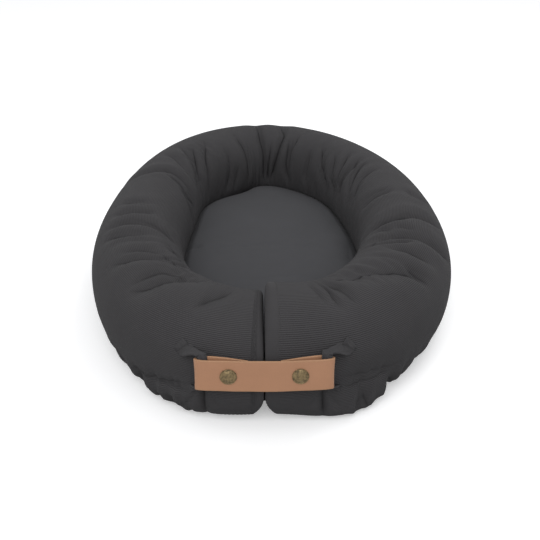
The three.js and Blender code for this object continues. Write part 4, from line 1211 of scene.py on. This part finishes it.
def make_pad():
    """The crowned pad under its smooth cloth, from the middle of its top over its rim to its underside."""
    s = sizes()
    plan = Plan()
    count = int(plan.whole / s.cloth_step * PAD_STEP_SHARE)
    rim = plan.outline(-PAD_TOP_INSET, count, 1)
    foot = plan.outline(-PAD_FOOT_INSET, count, 1)
    centre = rim.mean(axis=0)
    drop = pad_drop(plan, np.linspace(0, plan.whole, count, endpoint=False))
    rings = []
    for share in np.linspace(0, 1, PAD_TOP_RINGS):
        flat = centre + (rim - centre) * share
        x, y = flat.T
        height = PAD_RIM + (PAD_HIGH - PAD_RIM) * (1 - share**PAD_CROWN_POWER)
        height = height - drop * smoothstep(share, PAD_DROP_FROM_SHARE, 1)
        height -= s.pad_edge * smoothstep(share, PAD_EDGE_FROM_SHARE, 1) ** PAD_EDGE_POWER
        height = height - crease_depths(x, y, in_metres(PAD_CREASES))
        height = height + s.pad_wander * pad_wave(x, y) * (1 - share**PAD_WAVE_POWER)
        rings.append(np.column_stack([flat, height]))
    for share in PAD_SIDE_SHARES:
        flat = rim + (foot - rim) * share
        height = (PAD_RIM - s.pad_edge - drop) * (1 - share) + PAD_FOOT * share
        rings.append(np.column_stack([flat, height]))
    for share, lift in PAD_BELOW:
        flat = centre + (foot - centre) * share
        rings.append(np.column_stack([flat, np.full(count, PAD_LOW + lift)]))
    around = np.arange(count + 1) * s.cloth_step
    return wrap_grid("lying_pad", np.array(rings), np.arange(len(rings)) * s.cloth_step, around)


def make_base_panel():
    """The panel on the floor, with a slot for the zip."""
    plan = Plan()
    outline = plan.outline(BASE_OVERHANG, BASE_STEPS)
    walked = np.linspace(0, plan.whole, BASE_STEPS, endpoint=False)
    near = np.exp(-((plan.from_split(walked) / BASE_SPREAD) ** 2))
    outline -= BASE_DRAWN_IN * near[:, None] * plan.place(walked)[1]
    bm = bmesh.new()
    bmesh.ops.create_circle(bm, cap_ends=True, segments=BASE_STEPS, radius=1)
    for vert in bm.verts:
        share = math.atan2(vert.co.y, vert.co.x) / (2 * math.pi) + 0.25
        vert.co = (*outline[round(share * BASE_STEPS) % BASE_STEPS], BASE_LOW)
    low = (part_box("zip_stop_open")[0][0] - SLOT_END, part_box("zip_slider")[0][1] - SLOT_SIDE)
    high = (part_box("zip_stop_closed")[1][0] + SLOT_END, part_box("zip_slider")[1][1] + SLOT_SIDE)
    for corner in (low, high):
        for axis in (0, 1):
            normal = Vector((1 - axis, axis, 0))
            geom = bm.verts[:] + bm.edges[:] + bm.faces[:]
            bmesh.ops.bisect_plane(bm, geom=geom, plane_co=(*corner, 0), plane_no=normal)
    middles = [(face, face.calc_center_median()) for face in bm.faces]
    inside = [face for face, middle in middles if all(low[k] < middle[k] < high[k] for k in (0, 1))]
    bmesh.ops.delete(bm, geom=inside, context="FACES")
    bmesh.ops.recalc_face_normals(bm, faces=bm.faces)
    above = bmesh.ops.extrude_face_region(bm, geom=bm.faces[:])
    moved = [item for item in above["geom"] if isinstance(item, bmesh.types.BMVert)]
    bmesh.ops.translate(bm, verts=moved, vec=(0, 0, BASE_HIGH - BASE_LOW))
    bmesh.ops.recalc_face_normals(bm, faces=bm.faces)
    level = [edge for edge in bm.edges if abs((edge.verts[0].co - edge.verts[1].co).z) < JOIN_DISTANCE]
    edges = [edge for edge in level if edge.calc_face_angle(0) > 1]
    bmesh.ops.bevel(bm, geom=edges, offset=BASE_BEVEL, segments=2, profile=0.5, affect="EDGES", material=-1)
    obj = link_mesh("base_cloth", bm)
    shade_smooth(obj, BASE_SHARP_DEGREES)
    return obj


def make_elastic():
    """The gathered elastic under the bolster, from one side of the foot round the head to the other."""
    s = sizes()
    plan = Plan()
    walked = np.linspace(ELASTIC_FROM, plan.whole - ELASTIC_FROM, ELASTIC_STATIONS)
    point, outward = plan.place(walked)
    flat = point + ELASTIC_OFFSET * outward
    flat[:, 0] += plan.sway(walked)
    ripple = np.sin(walked * 2 * math.pi / s.elastic_ripple)
    path = np.column_stack([flat, ELASTIC_HEIGHT + ELASTIC_RISE * ripple])
    across = np.column_stack([outward, 0 * walked])
    shape, parts = flat_outline(*ELASTIC_SECTION)
    outline = np.repeat(shape[None], len(path), axis=0)
    outline[..., 0] *= (1 + ELASTIC_SPREAD_SHARE * ripple)[:, None]
    obj = make_band("gathering_elastic", path, across, (outline, parts))
    shade_smooth(obj, ELASTIC_SHARP_DEGREES)
    return obj


# Finishes


class Wire:
    """A value in a node tree, which is added, subtracted, multiplied and divided like a number."""

    def __init__(self, tree, socket):
        self.tree, self.socket = tree, socket

    def __add__(self, other):
        return calc(self.tree, "ADD", self, other)

    def __sub__(self, other):
        return calc(self.tree, "SUBTRACT", self, other)

    def __rsub__(self, other):
        return calc(self.tree, "SUBTRACT", other, self)

    def __mul__(self, other):
        return calc(self.tree, "MULTIPLY", self, other)

    def __truediv__(self, other):
        return calc(self.tree, "DIVIDE", self, other)

    def zigzag(self):
        """How far the value is from the nearest whole number."""
        return calc(self.tree, "PINGPONG", self, 0.5)


def feed(tree, socket, value):
    """Sets a socket to a value, or links it to the output or wire that feeds it."""
    if isinstance(value, Wire):
        value = value.socket
    if isinstance(value, bpy.types.NodeSocket):
        tree.links.new(value, socket)
    else:
        socket.default_value = value


def add_node(tree, kind, inputs=None, **settings):
    """Adds a shader node of a kind, with its settings and what feeds its inputs."""
    node = tree.nodes.new(f"ShaderNode{kind}")
    for name, value in settings.items():
        setattr(node, name, value)
    for name, value in (inputs or {}).items():
        feed(tree, node.inputs[name], value)
    return node


def calc(tree, operation, *values):
    """The result of a Math node."""
    return Wire(tree, add_node(tree, "Math", dict(enumerate(values)), operation=operation).outputs[0])


def fit(tree, value, low, high, to_low=0.0, to_high=1.0):
    """A value's range brought smoothly to another."""
    inputs = {"Value": value, "From Min": low, "From Max": high, "To Min": to_low, "To Max": to_high}
    return Wire(tree, add_node(tree, "MapRange", inputs, interpolation_type="SMOOTHSTEP").outputs[0])


def noise(tree, vector, scale, detail=3.0, roughness=0.5):
    inputs = {"Vector": vector, "Scale": scale, "Detail": detail, "Roughness": roughness}
    return Wire(tree, add_node(tree, "TexNoise", inputs).outputs["Fac"])


def split_vector(tree, vector):
    """A vector's three parts."""
    return [Wire(tree, part) for part in add_node(tree, "SeparateXYZ", {"Vector": vector}).outputs]


def turned(tree, vector, rotation, scale=(1.0, 1.0, 1.0)):
    return add_node(tree, "Mapping", {"Vector": vector, "Rotation": rotation, "Scale": scale}).outputs[0]


def tint(tree, colour, shade):
    """A colour times a shade."""
    return add_node(tree, "VectorMath", {0: colour, "Scale": shade}, operation="SCALE").outputs[0]


def blend_colours(tree, share, first, second):
    node = add_node(tree, "Mix", data_type="RGBA")
    feed(tree, node.inputs[0], share)
    for socket, colour in ((node.inputs[6], first), (node.inputs[7], second)):
        feed(tree, socket, colour if isinstance(colour, bpy.types.NodeSocket) else (*colour, 1))
    return node.outputs[2]


def new_group(name, inputs, outputs):
    """A shader node group: its tree, its outputs by name and the wires from its inputs."""
    tree = bpy.data.node_groups.new(name, "ShaderNodeTree")
    for label, kind, default in inputs:
        socket = tree.interface.new_socket(label, in_out="INPUT", socket_type=f"NodeSocket{kind}")
        if default is not None:
            socket.default_value = default
    for label in outputs:
        tree.interface.new_socket(label, in_out="OUTPUT", socket_type="NodeSocketFloat")
    given = tree.nodes.new("NodeGroupInput").outputs
    wires = [Wire(tree, given[label]) for label, _, _ in inputs]
    return tree, tree.nodes.new("NodeGroupOutput").inputs, wires


def use_group(tree, name, inputs):
    """Places a group in a tree; its outputs by name."""
    node = add_node(tree, "Group", node_tree=bpy.data.node_groups[name])
    for label, value in inputs.items():
        feed(tree, node.inputs[label], value)
    return {socket.name: Wire(tree, socket) for socket in node.outputs}


def ribs_group():
    """Fine knitted ribs: raised rows across a distance, made of small stitches along it."""
    inputs = (("Along", "Float", 0.0), ("Round", "Float", 0.0), ("Pitch", "Float", 0.002),
              ("Wander", "Float", 0.3))
    tree, out, (along, around, pitch, wander) = new_group("knitted ribs", inputs, ("Height", "Groove"))
    place = add_node(tree, "CombineXYZ", {"X": along, "Y": around}).outputs[0]
    row = around / pitch + (noise(tree, place, 90.0, 2.0) - 0.5) * wander
    groove = calc(tree, "POWER", 1.0 - row.zigzag() * 2.0, 2.5)
    stitch = (along / (pitch * 0.6)).zigzag()
    feed(tree, out["Height"], (1.0 - groove) + stitch * 0.3)
    feed(tree, out["Groove"], groove)


def weave_group():
    """A plain weave: threads that pass over and under each other."""
    inputs = (("Vector", "Vector", None), ("Threads", "Float", 900.0))
    tree, out, (vector, threads) = new_group("plain weave", inputs, ("Height",))
    x, y, _ = split_vector(tree, vector)
    waves = []
    for first, second in ((x, y), (y, x)):
        across = first * threads
        over = (second * threads * 0.5 + calc(tree, "FLOOR", across) * 0.5).zigzag()
        waves.append(across.zigzag() * 2.0 * over)
    feed(tree, out["Height"], calc(tree, "MAXIMUM", *waves))


def mottle_group():
    """Uneven colour: soft patches with a little fine speckle, round 1."""
    inputs = (("Vector", "Vector", None), ("Scale", "Float", 20.0), ("Amount", "Float", 0.1))
    tree, out, (vector, scale, amount) = new_group("mottle", inputs, ("Shade",))
    soft = noise(tree, vector, scale, 3.0, 0.6)
    fine = noise(tree, vector, scale * 40.0, 1.0)
    feed(tree, out["Shade"], ((soft - 0.5) + (fine - 0.5) * 0.4) * (amount * 2.0) + 1.0)


def grain_group():
    """Leather grain: small closed cells with creases between them and a few longer wrinkles."""
    inputs = (("Vector", "Vector", None), ("Cells", "Float", 900.0))
    tree, out, (vector, cells) = new_group("leather grain", inputs, ("Height", "Pores"))
    nearest = add_node(tree, "TexVoronoi", {"Vector": vector, "Scale": cells}, feature="DISTANCE_TO_EDGE")
    pores = fit(tree, nearest.outputs["Distance"], 0.0, 0.12, 1.0, 0.0)
    wrinkle = noise(tree, vector, cells * 0.12, 4.0, 0.6)
    bent = noise(tree, vector, cells * 0.3, 2.0)
    feed(tree, out["Height"], (wrinkle - pores * 0.5) + bent * 0.4)
    feed(tree, out["Pores"], pores)


def patina_group():
    """Antique metal: dark patches where it has aged, bright where it is rubbed, and fine scratches."""
    inputs = (("Vector", "Vector", None), ("Scale", "Float", 300.0))
    tree, out, (vector, scale) = new_group("patina", inputs, ("Aged", "Scratches"))
    feed(tree, out["Aged"], fit(tree, noise(tree, vector, scale, 4.0, 0.65), 0.3, 0.75))
    drawn_out = turned(tree, vector, (0.3, 0.5, 0.4), (1.0, 0.12, 2.0))
    feed(tree, out["Scratches"], fit(tree, noise(tree, drawn_out, scale * 8.0, 2.0), 0.55, 0.75))


def new_material(name, roughness, metallic=0.0, sheen=0.0, specular=0.5):
    """A material's tree and its shader, whose even values are set on the shader's sockets."""
    material = bpy.data.materials.new(name)
    material.use_nodes = True
    tree = material.node_tree
    shader = tree.nodes["Principled BSDF"]
    for label, value in (("Roughness", roughness), ("Metallic", metallic), ("Sheen Weight", sheen),
                         ("Specular IOR Level", specular)):
        shader.inputs[label].default_value = value
    return tree, shader


def object_place(tree):
    return add_node(tree, "TexCoord").outputs["Object"]


def map_place(tree):
    """The place on a piece's own map, in metres."""
    return add_node(tree, "UVMap", uv_map="cloth").outputs[0]


def mark(tree, name):
    """A mark that the mesh carries."""
    return Wire(tree, add_node(tree, "Attribute", attribute_name=name).outputs["Fac"])


def mottled(tree, vector, scale, amount):
    return use_group(tree, "mottle", {"Vector": vector, "Scale": scale, "Amount": amount})["Shade"]


def woven(tree, vector, threads):
    return use_group(tree, "plain weave", {"Vector": vector, "Threads": threads})["Height"]


def set_bump(tree, shader, height, distance, strength):
    bump = add_node(tree, "Bump", {"Height": height, "Distance": distance, "Strength": strength})
    feed(tree, shader.inputs["Normal"], bump.outputs[0])


def ribbed_cloth():
    """Ribbed cloth of the bolster, on its own map: X runs along the bolster and Y round it. Painted shade
    darkens its rib grooves and crease bottoms.
    """
    c = colours()
    tree, shader = new_material("ribbed_knit", 0.95, sheen=c.cloth_sheen, specular=0.08)
    uv = map_place(tree)
    along, around, _ = split_vector(tree, uv)
    plain, bias = mark(tree, "plain"), mark(tree, "bias")
    slanted = along * 0.62 + around * 0.55
    row = around + (slanted - around) * bias
    inputs = {"Along": along, "Round": row, "Pitch": sizes().rib_pitch, "Wander": 0.35}
    ribs = use_group(tree, "knitted ribs", inputs)
    height = ribs["Height"] * (1.0 - plain * 0.9) + woven(tree, uv, 1400.0) * 0.15
    groove = ribs["Groove"] * (1.0 - plain * 0.85)
    # Painted shade in the grooves between the ribs
    shade = 1.0 - groove * c.painted_rib_shade
    # The bottoms of the creases, sharper than the mesh can be: a bump, and painted shade that darkens the
    # crease lines
    for word in ("main", "fine"):
        line, core = mark(tree, f"{word}_line"), mark(tree, f"{word}_core")
        sharp = calc(tree, "EXPONENT", calc(tree, "ABSOLUTE", line) / -CORE_WIDTH)
        height = height - sharp * (core * CORE_BUMP)
        shade = shade * (1.0 - sharp * fit(tree, core, 0.0, CORE_FULL_SHADE_DEPTH, 0.0, c.painted_crease_shade))
    # Painted shade on the plain cloth, about what the ribs' painted shade takes off the ribbed cloth on
    # average
    shade = shade * fit(tree, plain, 0.0, 1.0, 1.0, 0.87)
    shade = mottled(tree, object_place(tree), 28.0, 0.09) * shade
    feed(tree, shader.inputs["Base Color"], tint(tree, c.cloth, shade))
    set_bump(tree, shader, height, 0.0009, 0.6)


def smooth_cloths():
    """Smooth cloth of the pad and the base panel, and the elastic."""
    c = colours()
    for name, colour, threads, depth in (("pad_cloth", c.pad, 1100.0, 0.00035),
                                         ("base_cloth", c.base, 800.0, 0.0005),
                                         ("elastic_band", c.elastic, 700.0, 0.0006)):
        tree, shader = new_material(name, 0.93, sheen=c.cloth_sheen, specular=0.08)
        place = object_place(tree)
        weave = woven(tree, place, threads)
        # Painted shade between the threads: darker where the weave is low, a little lighter on its tops
        shade = mottled(tree, place, 22.0, 0.07) * fit(tree, weave, 0.0, 0.5, 0.86, 1.04)
        feed(tree, shader.inputs["Base Color"], tint(tree, colour, shade))
        set_bump(tree, shader, weave, depth, 0.5)


def tapes():
    """Tape of the loops and the zip, and thread of the stitches."""
    c = colours()
    for name, colour, threads in (("loop_cloth", c.cloth, 1150.0), ("thread", c.thread, 3000.0)):
        tree, shader = new_material(name, 0.9, sheen=c.cloth_sheen, specular=0.08)
        place = object_place(tree)
        weave = woven(tree, turned(tree, place, (0.6, 0.5, 0.7)), threads)
        # Painted shade between the threads: darker where the weave is low, lighter on its tops
        shade = mottled(tree, place, 60.0, 0.12) * fit(tree, weave, 0.0, 0.5, 0.75, 1.1)
        feed(tree, shader.inputs["Base Color"], tint(tree, colour, shade))
        set_bump(tree, shader, weave, 0.0004, 0.5)


def leather_grain():
    """Grain side of the leather: fine pores, paler towards the cut edges."""
    c = colours()
    tree, shader = new_material("leather_grain", 0.55, specular=0.4)
    place = object_place(tree)
    across = calc(tree, "ABSOLUTE", split_vector(tree, map_place(tree))[1])
    grain = use_group(tree, "leather grain", {"Vector": place, "Cells": 1300.0})
    mottle = mottled(tree, place, 45.0, 0.07)
    near_edge = fit(tree, across, STRAP_HALF_WIDTH - PALE_EDGE[0], STRAP_HALF_WIDTH - PALE_EDGE[1])
    ragged = near_edge * noise(tree, place, 700.0, 3.0)
    shade = mottle * fit(tree, grain["Pores"], 0.0, 1.0, 1.02, 0.93)
    colour = blend_colours(tree, ragged * 0.9, tint(tree, c.leather, shade), c.leather_edge)
    feed(tree, shader.inputs["Base Color"], colour)
    feed(tree, shader.inputs["Roughness"], fit(tree, mottle, 0.9, 1.1, 0.62, 0.5))
    set_bump(tree, shader, grain["Height"], 0.0002, 0.35)


def leather_fibres():
    """Flesh side and cut edge of the leather: loose fibres."""
    c = colours()
    for name, colour, fibre in (("leather_flesh", c.leather_flesh, 1.0),
                                ("leather_cut", c.leather_edge, 0.7)):
        tree, shader = new_material(name, 0.95, sheen=0.3, specular=0.15)
        place = object_place(tree)
        fibres = noise(tree, turned(tree, place, (0.0, 0.25, 0.0), (0.45, 1.0, 1.0)), 1500.0, 4.0, 0.7)
        patches = noise(tree, place, 260.0, 3.0)
        shade = fit(tree, fibres, 0.3, 0.7, 1 - 0.5 * fibre, 1 + 0.45 * fibre)
        shade = shade * fit(tree, patches, 0.3, 0.7, 0.8, 1.2)
        feed(tree, shader.inputs["Base Color"], tint(tree, colour, shade))
        set_bump(tree, shader, fibres, 0.0012, 0.9)


def metals():
    """Antique brass of the press studs and alloy of the zip."""
    c = colours()
    for name, colour, aged, rough in (("antique_brass", c.brass, c.brass_aged, 0.42),
                                      ("zip_alloy", c.zip_metal, c.zip_aged, 0.38)):
        tree, shader = new_material(name, rough, metallic=1.0)
        patina = use_group(tree, "patina", {"Vector": object_place(tree), "Scale": 420.0})
        mix = blend_colours(tree, patina["Aged"], colour, aged)
        mix = blend_colours(tree, patina["Scratches"] * 0.35, mix, colour)
        feed(tree, shader.inputs["Base Color"], mix)
        feed(tree, shader.inputs["Roughness"], fit(tree, patina["Aged"], 0.0, 1.0, rough - 0.08, rough + 0.2))
        set_bump(tree, shader, patina["Aged"] - patina["Scratches"] * 0.5, 0.00012, 0.5)


def moulded_plastic():
    """Plastic of the zip's teeth, with a little mottle from its flow."""
    tree, shader = new_material("zip_plastic", 0.4)
    mottle = mottled(tree, object_place(tree), 250.0, 0.12)
    feed(tree, shader.inputs["Base Color"], tint(tree, colours().zip_plastic, mottle))
    feed(tree, shader.inputs["Roughness"], fit(tree, mottle, 0.85, 1.15, 0.35, 0.5))


def finish(obj, *names):
    """Gives a piece its materials."""
    obj.data.materials.clear()
    for name in names:
        obj.data.materials.append(bpy.data.materials[name])


# What the sidebar offers


class LOUNGER_OT_finishes(bpy.types.Operator):
    """Makes the cloth, leather and metal finishes"""

    bl_idname = "lounger.finishes"
    bl_label = "Finishes"

    def execute(self, context):
        for make in (ribs_group, weave_group, mottle_group, grain_group, patina_group, ribbed_cloth,
                     smooth_cloths, tapes, leather_grain, leather_fibres, metals, moulded_plastic):
            make()
        return {"FINISHED"}


class LOUNGER_OT_bolster(bpy.types.Operator):
    """Makes the bolster's creased cloth and the stitches in it"""

    bl_idname = "lounger.bolster"
    bl_label = "Bolster"

    def execute(self, context):
        obj, *laid = make_bolster_cloth()
        finish(obj, "ribbed_knit")
        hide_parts("bolster_cover_left", "bolster_cover_right", "end_panel_left", "end_panel_right",
                    "bolster_fill")
        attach(obj, "lounger")
        cloth = LaidCloth(*laid)
        threads = [pair for line in STITCH_LINES for pair in cloth.seam(line)]
        stitches = thread_stitches("bolster_stitches", threads, STITCH_THICKNESS)
        finish(stitches, "thread")
        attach(stitches, "lounger")
        return {"FINISHED"}


class LOUNGER_OT_base(bpy.types.Operator):
    """Makes the lying pad, the base panel and the gathering elastic"""

    bl_idname = "lounger.base"
    bl_label = "Pad and Base"

    def execute(self, context):
        pad = make_pad()
        finish(pad, "pad_cloth")
        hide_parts("lying_panel", "base_foam")
        base = make_base_panel()
        finish(base, "base_cloth")
        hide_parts("base_panel")
        elastic = make_elastic()
        finish(elastic, *["elastic_band"] * 3)
        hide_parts("hem_elastic")
        for obj, slot in ((pad, "ribbed_cloth"), (base, "ribbed_cloth"), (elastic, "elastic")):
            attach(obj, "lounger")
        return {"FINISHED"}


class LOUNGER_OT_strap(bpy.types.Operator):
    """Makes the leather strap and the caps of its press studs"""

    bl_idname = "lounger.strap"
    bl_label = "Strap and Studs"

    def execute(self, context):
        strap = make_strap()
        finish(strap, "leather_grain", "leather_flesh", "leather_cut")
        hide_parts("strap_front", "strap_fold_left", "strap_fold_right", "strap_tab_left",
                    "strap_tab_right")
        strap_place(0, -0.0056, 0)
        strap_place(0, -0.0019, 0)
        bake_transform(strap)
        for side, word in ((-1, "left"), (1, "right")):
            cap = make_cap(side, word)
            finish(cap, "antique_brass")
            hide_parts(f"press_cap_{word}")
            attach(cap, "strap")
            for kind in ("socket", "stud", "post"):
                finish(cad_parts[f"press_{kind}_{word}"], "antique_brass")
        return {"FINISHED"}


class LOUNGER_OT_loops(bpy.types.Operator):
    """Makes the cloth loops that hold the strap, and their bar tacks"""

    bl_idname = "lounger.loops"
    bl_label = "Cloth Loops"

    def execute(self, context):
        plan = Plan()
        for side, word in ((-1, "left"), (1, "right")):
            loop = make_loop(plan, side, word)
            finish(loop, *["loop_cloth"] * 3)
            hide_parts(f"loop_tape_{word}")
            tack = thread_stitches(f"bar_tack_{word}", bar_tack(plan, side), TACK_THICKNESS)
            finish(tack, "thread")
            for obj in (loop, tack):
                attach(obj, "lounger")
        return {"FINISHED"}


class LOUNGER_OT_zip(bpy.types.Operator):
    """Finishes the zip in the base panel"""

    bl_idname = "lounger.zip"
    bl_label = "Zip"

    def execute(self, context):
        for side in ("foot", "head"):
            finish(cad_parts[f"zip_tape_{side}"], "loop_cloth")
            finish(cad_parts[f"zip_teeth_{side}"], "zip_plastic")
        for name in ("zip_stop_open", "zip_stop_closed", "zip_slider", "zip_pull"):
            finish(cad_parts[name], "zip_alloy")
        return {"FINISHED"}


# The studio


def make_camera():
    camera = bpy.data.cameras.new("camera")
    camera.lens = CAMERA_LENS
    camera.sensor_width = CAMERA_SENSOR
    obj = bpy.data.objects.new("camera", camera)
    bpy.context.scene.collection.objects.link(obj)
    obj.location = CAMERA_PLACE
    yaw, pitch = CAMERA_TURN
    forward = Vector((-math.sin(yaw) * math.cos(pitch), math.cos(yaw) * math.cos(pitch), -math.sin(pitch)))
    obj.rotation_euler = forward.to_track_quat("-Z", "Y").to_euler()
    bpy.context.scene.camera = obj


def area_light(name, location, size, power):
    """A round lamp that looks at the lounger's middle."""
    light = bpy.data.lights.new(name, "AREA")
    light.shape = "DISK"
    light.size = size
    light.energy = power
    obj = bpy.data.objects.new(name, light)
    bpy.context.scene.collection.objects.link(obj)
    obj.location = location
    obj.rotation_euler = (-Vector(location)).to_track_quat("-Z", "Y").to_euler()


def seen_directly(tree):
    """1 for rays from the camera, in gloss and through glass, and 0 for the rays that light the object."""
    rays = add_node(tree, "LightPath").outputs
    seen = calc(tree, "MAXIMUM", rays["Is Camera Ray"], rays["Is Glossy Ray"])
    return calc(tree, "MAXIMUM", seen, rays["Is Transmission Ray"])


def make_world():
    """A soft sky that is white where it is seen."""
    world = bpy.context.scene.world or bpy.data.worlds.new("world")
    bpy.context.scene.world = world
    world.use_nodes = True
    tree = world.node_tree
    light = tree.nodes["Background"]
    light.inputs["Color"].default_value = SKY_COLOUR
    light.inputs["Strength"].default_value = sizes().sky_strength
    white = add_node(tree, "Background", {"Color": (1, 1, 1, 1), "Strength": 1.0})
    mix = add_node(tree, "MixShader", {0: seen_directly(tree), 1: light.outputs[0], 2: white.outputs[0]})
    feed(tree, tree.nodes["World Output"].inputs["Surface"], mix.outputs[0])


def make_floor():
    """A pale floor that shows white where no shadow lies on it."""
    bm = bmesh.new()
    below = Matrix.Translation((0, 0, FLOOR_BELOW))
    bmesh.ops.create_circle(bm, cap_ends=True, segments=64, radius=FLOOR_RADIUS, matrix=below)
    floor = link_mesh("floor", bm)
    tree, shader = new_material("floor", 0.9, specular=0.0)
    seen = seen_directly(tree)
    grey = fit(tree, seen, 0.0, 1.0, FLOOR_UNSEEN, colours().floor[0])
    colour = add_node(tree, "CombineColor", dict.fromkeys(range(3), grey))
    feed(tree, shader.inputs["Base Color"], colour.outputs[0])
    glow = add_node(tree, "Emission", {"Color": (1, 1, 1, 1), "Strength": seen * sizes().floor_glow})
    both = add_node(tree, "AddShader", {0: shader.outputs[0], 1: glow.outputs[0]})
    feed(tree, tree.nodes["Material Output"].inputs["Surface"], both.outputs[0])
    finish(floor, "floor")


class LOUNGER_OT_stage(bpy.types.Operator):
    """Makes the camera, the floor and the lights"""

    bl_idname = "lounger.stage"
    bl_label = "Studio"

    def execute(self, context):
        context.scene.view_settings.view_transform = "Standard"
        make_camera()
        make_world()
        make_floor()
        for lamp in LAMPS:
            area_light(*lamp)
        return {"FINISHED"}


class LOUNGER_PT_panel(bpy.types.Panel):
    """Lists the lounger's operators and sizes"""

    bl_label = "Infant Lounger"
    bl_idname = "LOUNGER_PT_panel"
    bl_space_type = "VIEW_3D"
    bl_region_type = "UI"
    bl_category = "Lounger"

    def draw(self, context):
        column = self.layout.column()
        for operator in OPERATORS:
            column.operator(operator.bl_idname)
        for group in (context.scene.lounger_sizes, context.scene.lounger_colours):
            for name in group.__annotations__:
                column.prop(group, name)


OPERATORS = (LOUNGER_OT_finishes, LOUNGER_OT_bolster, LOUNGER_OT_base, LOUNGER_OT_strap, LOUNGER_OT_loops,
             LOUNGER_OT_zip, LOUNGER_OT_stage)
CLASSES = (LoungerSizes, LoungerColours, *OPERATORS, LOUNGER_PT_panel)


def register():
    for cls in CLASSES:
        bpy.utils.register_class(cls)
    bpy.types.Scene.lounger_sizes = PointerProperty(type=LoungerSizes)
    bpy.types.Scene.lounger_colours = PointerProperty(type=LoungerColours)


def unregister():
    del bpy.types.Scene.lounger_colours
    del bpy.types.Scene.lounger_sizes
    for cls in reversed(CLASSES):
        bpy.utils.unregister_class(cls)


def main():
    register()
    bpy.ops.lounger.finishes()
    bpy.ops.lounger.bolster()
    bpy.ops.lounger.base()
    bpy.ops.lounger.strap()
    bpy.ops.lounger.loops()
    bpy.ops.lounger.zip()
    bpy.ops.lounger.stage()
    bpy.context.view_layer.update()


if __name__ == "__main__":
    main()
